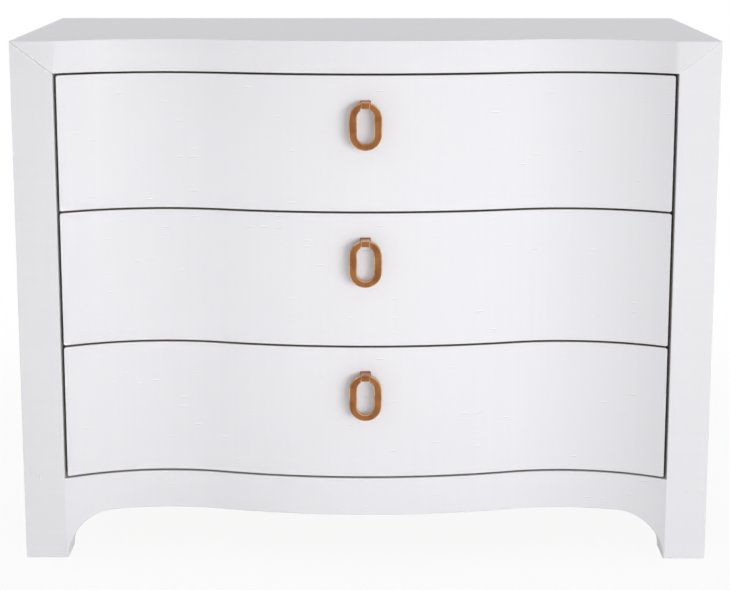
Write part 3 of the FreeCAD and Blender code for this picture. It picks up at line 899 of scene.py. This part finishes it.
@dataclass
class Serpentine:
    """The face that the top, the drawer fronts and the apron share: a crown between hollows."""

    front: float
    half_opening: float = HALF_WIDTH - SIDE_SLAB
    hollow_offset: float = 0.307
    hollow_depth: float = 0.045
    crown_setback: float = 0.005
    steps: int = 26

    def __post_init__(self) -> None:
        """Works out the radii and centres of the tangent arcs."""
        reach = self.half_opening - self.hollow_offset
        rise = self.hollow_depth - self.crown_setback
        spacing = (self.hollow_offset**2 + rise**2) / (2 * rise)
        self.hollow_radius = (reach**2 + self.hollow_depth**2) / (2 * self.hollow_depth)
        self.crown_radius = spacing - self.hollow_radius
        self.join_x = self.hollow_offset * self.crown_radius / spacing
        self.hollow_y = self.front + self.hollow_depth - self.hollow_radius
        self.crown_y = self.front + self.crown_setback + self.crown_radius

    def depth(self, x: float) -> float:
        """Finds the face.

        Args:
            x: how far from the middle.

        Returns:
            The face's Y there.
        """
        out = abs(x)
        if out > self.half_opening:
            return self.front
        if out < self.join_x:
            return self.crown_y - math.sqrt(self.crown_radius**2 - out**2)
        return self.hollow_y + math.sqrt(self.hollow_radius**2 - (out - self.hollow_offset) ** 2)

    def unroll(self, x: float) -> float:
        """Measures along the face from its middle.

        Args:
            x: where to.

        Returns:
            The length, with the sign of X.
        """
        out = abs(x)
        length = self.crown_radius * math.asin(min(out, self.join_x) / self.crown_radius)
        if out > self.join_x:
            ends = (self.join_x, min(out, self.half_opening))
            turns = [math.asin((end - self.hollow_offset) / self.hollow_radius) for end in ends]
            length += self.hollow_radius * (turns[1] - turns[0]) + max(out - self.half_opening, 0)
        return math.copysign(length, x)

    def draw(self, form: Form, end_x: float, z: float) -> tuple[BMVert, BMVert]:
        """Draws the face's line from right to left.

        Args:
            form: the form to draw it in.
            end_x: how far out from the middle it starts and ends.
            z: its height.

        Returns:
            The first and the last point.
        """
        first = tip = form.dot((end_x, self.depth(end_x), z))
        legs = (
            (self.hollow_offset, self.hollow_y, self.join_x),
            (0.0, self.crown_y, -self.join_x),
            (-self.hollow_offset, self.hollow_y, -end_x),
        )
        for centre_x, centre_y, goal in legs:
            start = math.atan2(tip.co.y - centre_y, tip.co.x - centre_x)
            end = math.atan2(self.depth(goal) - centre_y, goal - centre_x)
            centre = Vector((centre_x, centre_y, z))
            tip = form.arc(tip, centre, "Z", math.degrees(end - start), self.steps)
        return first, tip


# ---------------------------------------------------------------- the case


@dataclass
class Case:
    """The wrapped case: a top mitred to two sides, and an apron between the feet."""

    face: Serpentine
    back: float
    frame_depth: float = 0.065
    glide: float = 0.002
    arch_height: float = 0.071
    arch_toe: float = 0.002
    apron_top: float = 0.131
    lining: float = 0.0063
    back_inset: float = 0.0004
    rebate_width: float = 0.01
    rebate_depth: float = 0.005
    arris: float = 0.0014
    seam: float = 0.0005
    seam_area: float = 2e-4
    # where the painted gap shade on the top's underside starts behind the face, and how near its
    # height a face must lie
    gap_shade_setback: float = 0.0015
    gap_shade_margin: float = 1e-3
    rear_margin: float = 0.01
    arch_steps: int = 16
    run_out: float = 0.02

    def __post_init__(self) -> None:
        """Works out the height of the opening's top and the inner end of the rebate."""
        self.underside = HEIGHT - TOP_SLAB
        self.rebate_end = self.face.half_opening + self.rebate_width

    @staticmethod
    def _mitre(side: Side) -> tuple[Vector, Vector]:
        """Returns a point of a side's mitre plane and its normal, away from the side board."""
        normal = Vector((-side.value * TOP_SLAB, 0, SIDE_SLAB)).normalized()
        return Vector((side.value * HALF_WIDTH, 0, HEIGHT)), normal

    def _is_on_mitre(self, edge: BMEdge) -> bool:
        """Returns True for an edge that lies in a mitre plane."""
        planes = [self._mitre(side) for side in Side]
        return any(all(near((v.co - at).dot(way), 0.0) for v in edge.verts) for at, way in planes)

    def _cut_seats(self, form: Form) -> None:
        """Cuts the seats of the lining and of the back panel out of a board.

        Args:
            form: the board.
        """
        wide = self.face.half_opening + self.lining
        form.carve(Form().block(
            (-wide, self.face.front + self.frame_depth, self.apron_top),
            (wide, self.back - self.frame_depth, self.underside + self.lining),
        ))
        form.carve(Form().block(
            (-self.rebate_end, self.back - self.rebate_depth, self.arch_height),
            (self.rebate_end, self.back + self.run_out, self.underside + self.rebate_width),
        ))

    def _soften(self, form: Form, is_outside: EdgeTest) -> None:
        """Rounds a board's mitred edges a little, and others more.

        Args:
            form: the board.
            is_outside: the test for the other edges.
        """
        form.soften(((self._is_on_mitre, self.seam), (is_outside, self.arris)))

    def make_top(self) -> None:
        """Makes the top with its serpentine edge, mitred at both ends."""
        front, back = self.face.front, self.back
        form = Form()
        first, tip = self.face.draw(form, self.face.half_opening, self.underside)
        for x, y in ((-1, front), (-1, back), (1, back), (1, front)):
            tip = form.line(tip, (x * HALF_WIDTH, y, self.underside))
        form.close(first, tip)
        form.sweep("Z", TOP_SLAB)
        for side in Side:
            place, normal = self._mitre(side)
            form.trim(place, -normal)
        self._cut_seats(form)
        seats_top = self.underside + self.rebate_width + CLEARANCE
        seats_front = front + self.frame_depth / 2

        def is_outside(edge: BMEdge) -> bool:
            """Returns True for the edges that show, but not those inside the case."""
            at = middle(edge)
            return is_arris(edge) and not (at.z < seats_top and at.y > seats_front)

        self._soften(form, is_outside)
        form.lay_cloth(self.face.unroll, False)
        self._lay_finishes(form)
        # the third finish is painted shade on the top's underside above the drawers
        form.finish(
            "top_wrap", (MITRED_LINEN, LINEN_EDGE, LINEN_GAP_SHADE), "case", "wrapped_board",
            ("top_panel", "top_front_rail", "top_rear_rail"),
        )

    def _lay_finishes(self, form: Form) -> None:
        """Marks the open mitre on the left as 1, and as 2 the underside above the drawers, which gets
        painted shade for the gap there.

        Args:
            form: a softened board.
        """
        place, normal = self._mitre(Side.LEFT)
        gap_shade_front = self.face.front + self.gap_shade_setback

        def is_seam(face: BMFace) -> bool:
            """Returns True for the narrow faces along the left mitre."""
            gap = abs((face.calc_center_median() - place).dot(normal))
            return OFF_PLANE < gap < self.seam and face.calc_area() < self.seam_area

        def is_in_gap_shade(face: BMFace) -> bool:
            """Returns True for the underside over the drawers, behind its rounded edge, which gets the
            painted shade of the gap there.
            """
            at, faces_down = face.calc_center_median(), face.normal.z < -FACING
            return faces_down and near(at.z, self.underside, self.gap_shade_margin) and at.y > gap_shade_front

        form.mark(is_seam, 1).mark(is_in_gap_shade, 2)

    def _arch(
        self, form: Form, tip: BMVert, feet: Pair, place: PlaceMaker, axis: str, turn: float
    ) -> BMVert:
        """Draws the line of an arch from foot to foot.

        Args:
            form: the form to draw it in.
            tip: the point at the low foot.
            feet: where the arch starts and ends.
            place: gives a point from a distance along the arch and a height.
            axis: the axis that the arch's corners turn about.
            turn: 90 or -90, the turn of a corner.

        Returns:
            The point at the high foot.
        """
        radius = self.arch_height - self.glide
        low, high = feet[0] + radius, feet[1] - radius
        tip = form.arc(tip, Vector(place(low, self.glide)), axis, turn, self.arch_steps)
        tip = form.line(tip, place(high, self.arch_height))
        return form.arc(tip, Vector(place(high, self.glide)), axis, turn, self.arch_steps)

    def make_side(self, side: Side) -> None:
        """Makes a side: a slab with an arched lower edge, mitred to the top.

        Args:
            side: which one.
        """
        name, front, inner = side.name.lower(), self.face.front, self.face.half_opening
        start_x = min(side.value * inner, side.value * HALF_WIDTH)
        toe = self.frame_depth + self.arch_toe
        low, high = front + toe, self.back - toe

        def place(y: float, z: float) -> Triple:
            """Returns a point in the plane of the side."""
            return (start_x, y, z)

        slab = Form()
        first = slab.dot(place(front, self.glide))
        tip = slab.line(first, place(low, self.glide))
        tip = self._arch(slab, tip, (low, high), place, "X", -90)
        for corner in ((self.back, self.glide), (self.back, HEIGHT), (front, HEIGHT)):
            tip = slab.line(tip, place(*corner))
        slab.close(first, tip)
        slab.sweep("X", SIDE_SLAB)
        slab.trim(*self._mitre(side))
        self._cut_seats(slab)
        clear_x, apron_top = self.rebate_end + CLEARANCE, self.apron_top

        def is_outside(edge: BMEdge) -> bool:
            """Finds the edges that show, but not those where the apron meets the foot.

            Args:
                edge: an edge of the slab.

            Returns:
                True for such an edge.
            """
            at = middle(edge)
            stands_free = abs(at.x) > clear_x or (near(at.y, front) and at.z > apron_top)
            return is_arris(edge) and stands_free and not near(at.z, apron_top)

        form = Form()
        for way in (-1, 1):
            part = Form().join(slab)
            part.trim((0, 0, apron_top), (0, 0, way))
            self._soften(part, is_outside)
            form.join(part)
        form.lay_cloth(self.face.unroll, True)
        self._lay_finishes(form)
        parts = ("side_panel", "front_post", "rear_post", "bottom_rail")
        form.finish(
            f"{name}_side_wrap", (MITRED_LINEN, LINEN_EDGE), "case", "wrapped_board",
            [f"{name}_{part}" for part in parts],
        )

    def make_apron(self) -> None:
        """Makes the serpentine apron with its arch between the front feet."""
        inner, rear = self.face.half_opening, self.face.front + self.frame_depth
        form = Form()
        first, tip = self.face.draw(form, inner, self.glide)
        for x in (-inner, inner):
            tip = form.line(tip, (x, rear, self.glide))
        form.close(first, tip)
        form.sweep("Z", self.apron_top - self.glide)

        def place(x: float, z: float) -> Triple:
            """Returns a point in a plane before the apron."""
            return (x, self.face.front - self.run_out, z)

        waste = Form()
        end, below = inner - self.arch_toe, self.glide - self.run_out
        first = waste.dot(place(-end, below))
        tip = waste.line(first, place(-end, self.glide))
        tip = self._arch(waste, tip, (-end, end), place, "Y", 90)
        tip = waste.line(tip, place(end, below))
        waste.close(first, tip)
        waste.sweep("Y", self.frame_depth + 2 * self.run_out)
        form.carve(waste)
        face_end = rear - self.rear_margin

        def is_outside(edge: BMEdge) -> bool:
            """Finds the edges round the face, but not those where it meets the feet.

            Args:
                edge: an edge of the apron.

            Returns:
                True for such an edge.
            """
            at = middle(edge)
            on_face = at.y < face_end and not near(abs(at.x), inner)
            return is_arris(edge) and on_face and not runs_along_y(edge, FACING)

        form.soften(((is_outside, self.arris),))
        form.lay_cloth(self.face.unroll, False)
        form.finish("apron_wrap", (LINEN,), "case", "wrapped_board", ("front_apron",))

    def make_back(self) -> None:
        """Makes the back panel, a hair inside its rebate, with softened edges."""
        low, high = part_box("back_panel")
        form = Form().block(low, (high.x, high.y - self.back_inset, high.z))
        form.soften(((is_arris, 2 * self.back_inset),))
        form.finish("back_sheet", (HARDBOARD,), "case", "back_board", ("back_panel",))

    def make(self) -> None:
        """Makes the whole case."""
        self.make_top()
        for side in Side:
            self.make_side(side)
        self.make_apron()
        self.make_back()


# ---------------------------------------------------------------- fasteners


@dataclass(frozen=True)
class ScrewHead:
    """The head of a cross-recess screw that faces the front, its seat at the origin."""

    radius: float
    height: float
    crown: float = 0.6
    sides: int = 18
    recess_reach: float = 0.5
    recess_half: float = 0.11
    recess_floor: float = 0.45

    def form(self) -> Form:
        """Makes the head.

        Returns:
            The head, pointing along -Y.
        """
        radii = (self.radius, self.radius * self.crown)
        head = Form().rod(Vector(), "Z", self.height, radii, self.sides)
        arm, half = self.radius * self.recess_reach, self.radius * self.recess_half
        floor = self.height * self.recess_floor
        for x, y in ((arm, half), (half, arm)):
            head.carve(Form().block((-x, -y, floor), (x, y, self.height * 2)))
        quarter = Matrix.Rotation(math.radians(90), 3, "X")
        bmesh.ops.rotate(head.bm, cent=(0, 0, 0), matrix=quarter, verts=head.bm.verts[:])
        return head


@dataclass
class Fasteners:
    """The screws that show when a drawer stands open or the chest is seen from behind."""

    back: float
    back_head: ScrewHead = ScrewHead(0.0036, 0.0005, 0.9)
    back_margin: float = 0.006
    back_end_rows: float = 0.03
    back_columns: int = 7
    back_rows: int = 5
    front_head: ScrewHead = ScrewHead(0.0042, 0.0022)
    front_columns: tuple[float, ...] = (-0.38, -0.12, 0.12, 0.38)
    front_rows: Pair = (0.04, 0.03)
    turns: tuple[float, ...] = (0.2, 1.1, 0.6, 1.4, 0.9, 0.4)

    def _drive(self, head: ScrewHead, seats: Iterable[Triple]) -> Form:
        """Drives screws in from behind, each turned home to an angle of its own.

        Args:
            head: their head.
            seats: where each head seats.

        Returns:
            All the heads.
        """
        facing = Matrix.Rotation(math.pi, 4, "Z")
        places = [
            Matrix.Translation(Vector(seat)) @ facing @ Matrix.Rotation(turn, 4, "Y")
            for seat, turn in zip(seats, cycle(self.turns))
        ]
        return Form().join(head.form(), places)

    def make_back_screws(self) -> None:
        """Makes the flat-headed screws round the back panel."""
        low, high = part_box("back_panel")
        columns = spread(low.x + self.back_margin, high.x - self.back_margin, self.back_columns)
        rows = spread(low.z + self.back_end_rows, high.z - self.back_end_rows, self.back_rows)
        seats = [(x, z) for x in columns for z in (rows[0], high.z - self.back_margin)]
        seats += [(x, z) for x in (columns[0], columns[-1]) for z in rows[1:-1]]
        seat_y = self.back - self.back_head.height
        heads = self._drive(self.back_head, [(x, seat_y, z) for x, z in seats])
        heads.finish("back_screws", (ZINC,), "case", "screw_steel")

    def make_front_screws(self, row: Row) -> None:
        """Makes the screws that hold a drawer's front to its box.

        Args:
            row: the drawer.
        """
        low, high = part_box(row.part("box_front"))
        heights = (low.z + self.front_rows[0], high.z - self.front_rows[1])
        seats = [(x, high.y, z) for x in self.front_columns for z in heights]
        heads = self._drive(self.front_head, seats)
        heads.finish(row.part("front_screws"), (ZINC,), row.part("drawer"), "screw_steel")


# ---------------------------------------------------------------- drawers and pulls


@dataclass
class Drawer:
    """A drawer's wrapped front."""

    row: Row
    face: Serpentine
    depth: float = 0.065
    corner: float = 0.003
    arris: float = 0.0012

    def make(self) -> None:
        """Makes the front, with softened corners and arrises, and painted shade on its edges in the
        gaps.
        """
        node = self.row.part("drawer_front")
        low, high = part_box(node)
        end, rear = high.x, self.face.front + self.depth
        before_rear = rear - CLEARANCE
        form = Form()
        first, tip = self.face.draw(form, end, low.z)
        for x in (-end, end):
            tip = form.line(tip, (x, rear, low.z))
        form.close(first, tip)
        form.sweep("Z", high.z - low.z)

        def is_corner(edge: BMEdge) -> bool:
            """Returns True for the four edges from the face to the back."""
            return runs_along_y(edge, SQUARE) and near(abs(middle(edge).x), end)

        form.round_off(is_corner, self.corner, 5)

        def is_rim(edge: BMEdge) -> bool:
            """Returns True for the edges round the face."""
            return is_arris(edge) and all(vert.co.y < before_rear for vert in edge.verts)

        def is_in_gap_shade(face: BMFace) -> bool:
            """Returns True for the faces round the edge, behind the rounding, which get the painted
            shade of the gaps.
            """
            is_edgewise = abs(face.normal.y) < EDGEWISE
            return is_edgewise and any(vert.co.y > before_rear for vert in face.verts)

        form.soften(((is_rim, self.arris),))
        # the edge faces inside the gaps get painted shade
        form.mark(is_in_gap_shade, 1)
        form.lay_cloth(self.face.unroll, False)
        name, body = self.row.part("front_wrap"), self.row.part("drawer")
        form.finish(name, (LINEN, LINEN_GAP_SHADE), body, "wrapped_board", (node,))


@dataclass
class RingPull:
    """An oval ring that hangs from a strap, in copper-toned brass."""

    row: Row
    width: float = 0.05
    height: float = 0.073
    side_bar: float = 0.012
    end_bar: float = 0.01
    thickness: float = 0.008
    ring_arris: float = 0.0013
    journal: float = 0.0035
    strap_width: float = 0.0135
    strap_height: float = 0.01
    strap_arris: float = 0.0009
    seat_half: float = 0.0074
    bore: float = 0.00355
    plate: Triple = (0.016, 0.0025, 0.012)
    arc_steps: int = 28
    rod_sides: int = 32
    run_out: float = 0.01
    axis: Vector = field(init=False)

    def __post_init__(self) -> None:
        """Finds the axis of the journal, halfway up the plate and through the ring."""
        ring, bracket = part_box(self.row.part("pull_ring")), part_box(self.row.part("pull_bracket"))
        self.axis = Vector((0, (ring[0].y + ring[1].y) / 2, (bracket[0].z + bracket[1].z) / 2))

    def _stadium(self, form: Form, radius: float, top: float, bottom: float) -> None:
        """Draws an upright outline with half-round ends, in the plane of the ring's face.

        Args:
            form: the form to draw it in.
            radius: the radius of its ends.
            top: its highest point.
            bottom: its lowest point.
        """
        y = self.axis.y - self.thickness / 2
        first = form.dot((radius, y, top - radius))
        tip = form.arc(first, Vector((0, y, top - radius)), "Y", -180, self.arc_steps)
        tip = form.line(tip, (-radius, y, bottom + radius))
        tip = form.arc(tip, Vector((0, y, bottom + radius)), "Y", -180, self.arc_steps)
        bmesh.ops.contextual_create(form.bm, geom=[first, tip])

    def _rod(self, half_length: float, radius: float) -> Form:
        """Returns a rod on the axis of the journal."""
        start = self.axis - AXES["X"] * half_length
        return Form().rod(start, "X", 2 * half_length, (radius, radius), self.rod_sides)

    def _slab(self, wide: float, front: float, rear: float, tall: float) -> Form:
        """Returns a block that stands level with the axis."""
        z = self.axis.z
        return Form().block((-wide / 2, front, z - tall / 2), (wide / 2, rear, z + tall / 2))

    def make_ring(self) -> None:
        """Makes the ring, its top bar turned down to a journal inside the strap."""
        x, y, z = self.axis
        top, hole_radius = z + self.end_bar / 2, self.width / 2 - self.side_bar
        bottom = top - self.height
        form = Form()
        self._stadium(form, self.width / 2, top, bottom)
        self._stadium(form, hole_radius, top - self.end_bar, bottom + self.end_bar)
        bmesh.ops.bridge_loops(form.bm, edges=form.bm.edges[:])
        form.sweep("Y", self.thickness)
        # the rounded edges take the paler brass: rubbed wear and a painted highlight
        form.soften(((is_arris, self.ring_arris),), 4, 1)
        form.carve(Form().block(
            (-self.seat_half, y - self.run_out, z - self.end_bar / 2 - hole_radius),
            (self.seat_half, y + self.run_out, z + self.run_out),
        ))
        form.join(self._rod(self.seat_half, self.journal))
        self._finish(form, "ring", "pull", "pull_ring")

    def make_strap(self) -> None:
        """Makes the strap round the journal and the plate behind it."""
        low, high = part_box(self.row.part("pull_bracket"))
        form = self._slab(self.strap_width, low.y, high.y, self.strap_height)

        def is_nose(edge: BMEdge) -> bool:
            """Returns True for the edges round the strap's nose."""
            return any(near(vert.co.y, low.y) for vert in edge.verts)

        # the nose's rounded edges take the paler brass: rubbed wear and a painted highlight
        form.soften(((is_nose, self.strap_arris),), finish=1)
        form.carve(self._rod(self.strap_width / 2 + self.run_out, self.bore))
        wide, deep, tall = self.plate
        plate = self._slab(wide, high.y - deep, high.y, tall)
        plate.soften(((is_arris, self.strap_arris),))
        form.join(plate)
        self._finish(form, "strap", "drawer", "pull_bracket")

    def _finish(self, form: Form, name: str, body: str, node: str) -> None:
        """Makes a form a piece of the pull, its rounded edges paler: rubbed brass and a painted
        highlight.

        Args:
            form: the form.
            name: the piece's name in the drawer.
            body: the body in the drawer that it rides on.
            node: the drawer's part that it stands for.
        """
        part = self.row.part
        form.finish(part(name), (COPPER, COPPER_RUBBED_AND_LIT), part(body), "pull_brass", (part(node),))

    def make(self) -> None:
        """Makes the pull."""
        self.make_ring()
        self.make_strap()


# ---------------------------------------------------------------- carried-over parts


def dress(finish: Finish, *nodes: str) -> None:
    """Gives parts of the frame a finish.

    Args:
        finish: the finish.
        nodes: the parts' names.
    """
    for name in nodes:
        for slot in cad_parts[name].material_slots:
            slot.material = finish.material()
    log.info("%s on %s", finish.name, ", ".join(nodes))


def dress_carried_over() -> None:
    """Gives every part that shows as the frame has it its finish."""
    dress(CASE_DEEP, "left_inner_panel", "right_inner_panel")
    dress(CASE_ACROSS, "top_dust_panel", "rear_apron", "bottom_panel", "corner_blocks")
    dress(CASE_ACROSS, "lower_divider", "upper_divider")
    dress(NYLON, "foot_glides")
    for row in Row:
        dress(POPLAR_ACROSS, row.part("box_front"), row.part("box_back"))
        dress(POPLAR_DEEP, row.part("box_left_side"), row.part("box_right_side"))
        dress(PLYWOOD, row.part("box_bottom"))
        dress(ZINC, *(row.part(f"{member}_slides") for member in ("case", "centre", "drawer")))
        dress(ZINC, row.part("pull_screw"))


# ---------------------------------------------------------------- the studio


@dataclass
class Lamp:
    """A soft box that points at the chest, with a grid that narrows its light to an angle."""

    name: str
    place: Triple
    size: Pair
    power: float
    aim: Triple = (0.0, 0.0, 0.42)
    grid: float = 180.0
    mirrored: bool = True

    def make(self) -> None:
        """Hangs the lamp."""
        light = bpy.data.lights.new(self.name, "AREA")
        light.shape, (light.size, light.size_y) = "RECTANGLE", self.size
        light.energy, light.spread = self.power, math.radians(self.grid)
        lamp = place_in_scene(self.name, light)
        lamp.location = self.place
        way = Vector(self.aim) - Vector(self.place)
        lamp.rotation_euler = way.to_track_quat("-Z", "Y").to_euler()
        lamp.visible_glossy = self.mirrored


@dataclass
class Studio:
    """A pale floor that runs out into white, soft light, and the camera."""

    ambient: float = 0.513
    floor_radius: float = 16.0
    floor_sides: int = 128
    paper: tuple[float, float, float, float] = (0.82, 0.82, 0.82, 1)
    shadow_share: float = 0.085
    shadow_ends: Pair = (0.7, 1.9)
    lamps: tuple[Lamp, ...] = (
        Lamp("key", (2.3, -4.6, 0.4), (3.0, 2.0), 30.5, (0.12, 0.0, 0.33), 75.0, False),
        Lamp("glint", (4.6, -4.0, 0.5), (1.2, 1.2), 7.0),
        Lamp("crown", (0.2, -4.6, 0.6), (0.3, 0.8), 0.17, (0.05, 0.0, 0.45), 17.0, False),
        Lamp("left_hollow", (0.9, -4.6, 0.45), (0.3, 1.0), 0.16, (-0.33, 0.0, 0.45), 16.0, False),
        Lamp("rear_left", (-3.2, 1.3, 0.55), (1.5, 1.5), 32.0),
        Lamp("rear_right", (3.2, 1.3, 0.55), (1.5, 1.5), 14.0),
    )
    camera_place: Triple = (0.0127, -3.1077, 1.0407)
    camera_turn: Triple = (78.966, 0.0, 0.268)
    lens: float = 94.245
    shift: float = -0.05

    @staticmethod
    def _seen(tree: Tree) -> Signal:
        """Finds the rays that show the background itself: seen, mirrored or let through.

        Args:
            tree: the tree of the background.

        Returns:
            1 for such rays, and 0 for others.
        """
        names = ("Is Camera Ray", "Is Glossy Ray", "Is Transmission Ray")
        rays = [tree.add("ShaderNodeLightPath", output=name) for name in names]
        return rays[0].either(rays[1]).either(rays[2])

    def make_floor(self) -> None:
        """Lays the floor, which keeps a soft shadow near the chest."""
        material = bpy.data.materials.new("studio_paper")
        tree = Tree(material)
        place = tree.add("ShaderNodeTexCoord", output="Object")
        distance = tree.add("ShaderNodeVectorMath", {"operation": "LENGTH"}, {0: place}, "Value")
        whiteness = distance.rise(*self.shadow_ends) * self.shadow_share + (1.0 - self.shadow_share)
        paper = tree.add("ShaderNodeBsdfDiffuse", values={"Color": self.paper})
        white = tree.add("ShaderNodeEmission", values={"Strength": 1.0})
        shaders = {0: self._seen(tree) * whiteness, 1: paper, 2: white}
        mixed = tree.add("ShaderNodeMixShader", values=shaders)
        tree.add("ShaderNodeOutputMaterial", values={"Surface": mixed})
        form = Form()
        bmesh.ops.create_circle(
            form.bm, cap_ends=True, segments=self.floor_sides, radius=self.floor_radius
        )
        mesh = form.mesh("floor")
        mesh.materials.append(material)
        place_in_scene("floor", mesh)

    def make_world(self) -> None:
        """Fills the room with even light, and shows it as white."""
        world = bpy.data.worlds.new("room")
        bpy.context.scene.world = world
        tree = Tree(world)
        strength = self._seen(tree) * (1.0 - self.ambient) + self.ambient
        room = tree.add("ShaderNodeBackground", values={"Color": (1, 1, 1, 1), "Strength": strength})
        tree.add("ShaderNodeOutputWorld", values={"Surface": room})

    def make_camera(self) -> None:
        """Sets up the camera before the chest, a little above its top."""
        camera = place_in_scene("camera", bpy.data.cameras.new("camera"))
        camera.location = self.camera_place
        camera.rotation_euler = [math.radians(angle) for angle in self.camera_turn]
        camera.data.lens, camera.data.shift_y = self.lens, self.shift
        bpy.context.scene.camera = camera

    def make(self) -> None:
        """Makes the whole studio."""
        bpy.context.scene.view_settings.view_transform = "Standard"
        self.make_camera()
        self.make_floor()
        self.make_world()
        for lamp in self.lamps:
            lamp.make()
        log.info("studio with %d lamps", len(self.lamps))


def main() -> None:
    """Builds every piece around the frame, in order."""
    logging.basicConfig(level=logging.INFO, format="%(name)s: %(message)s")
    Studio().make()
    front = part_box("left_front_post")[0].y
    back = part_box("left_rear_post")[1].y
    face = Serpentine(front)
    Case(face, back).make()
    fasteners = Fasteners(back)
    fasteners.make_back_screws()
    for row in Row:
        Drawer(row, face).make()
        RingPull(row).make()
        fasteners.make_front_screws(row)
    dress_carried_over()


if __name__ == "__main__":
    main()
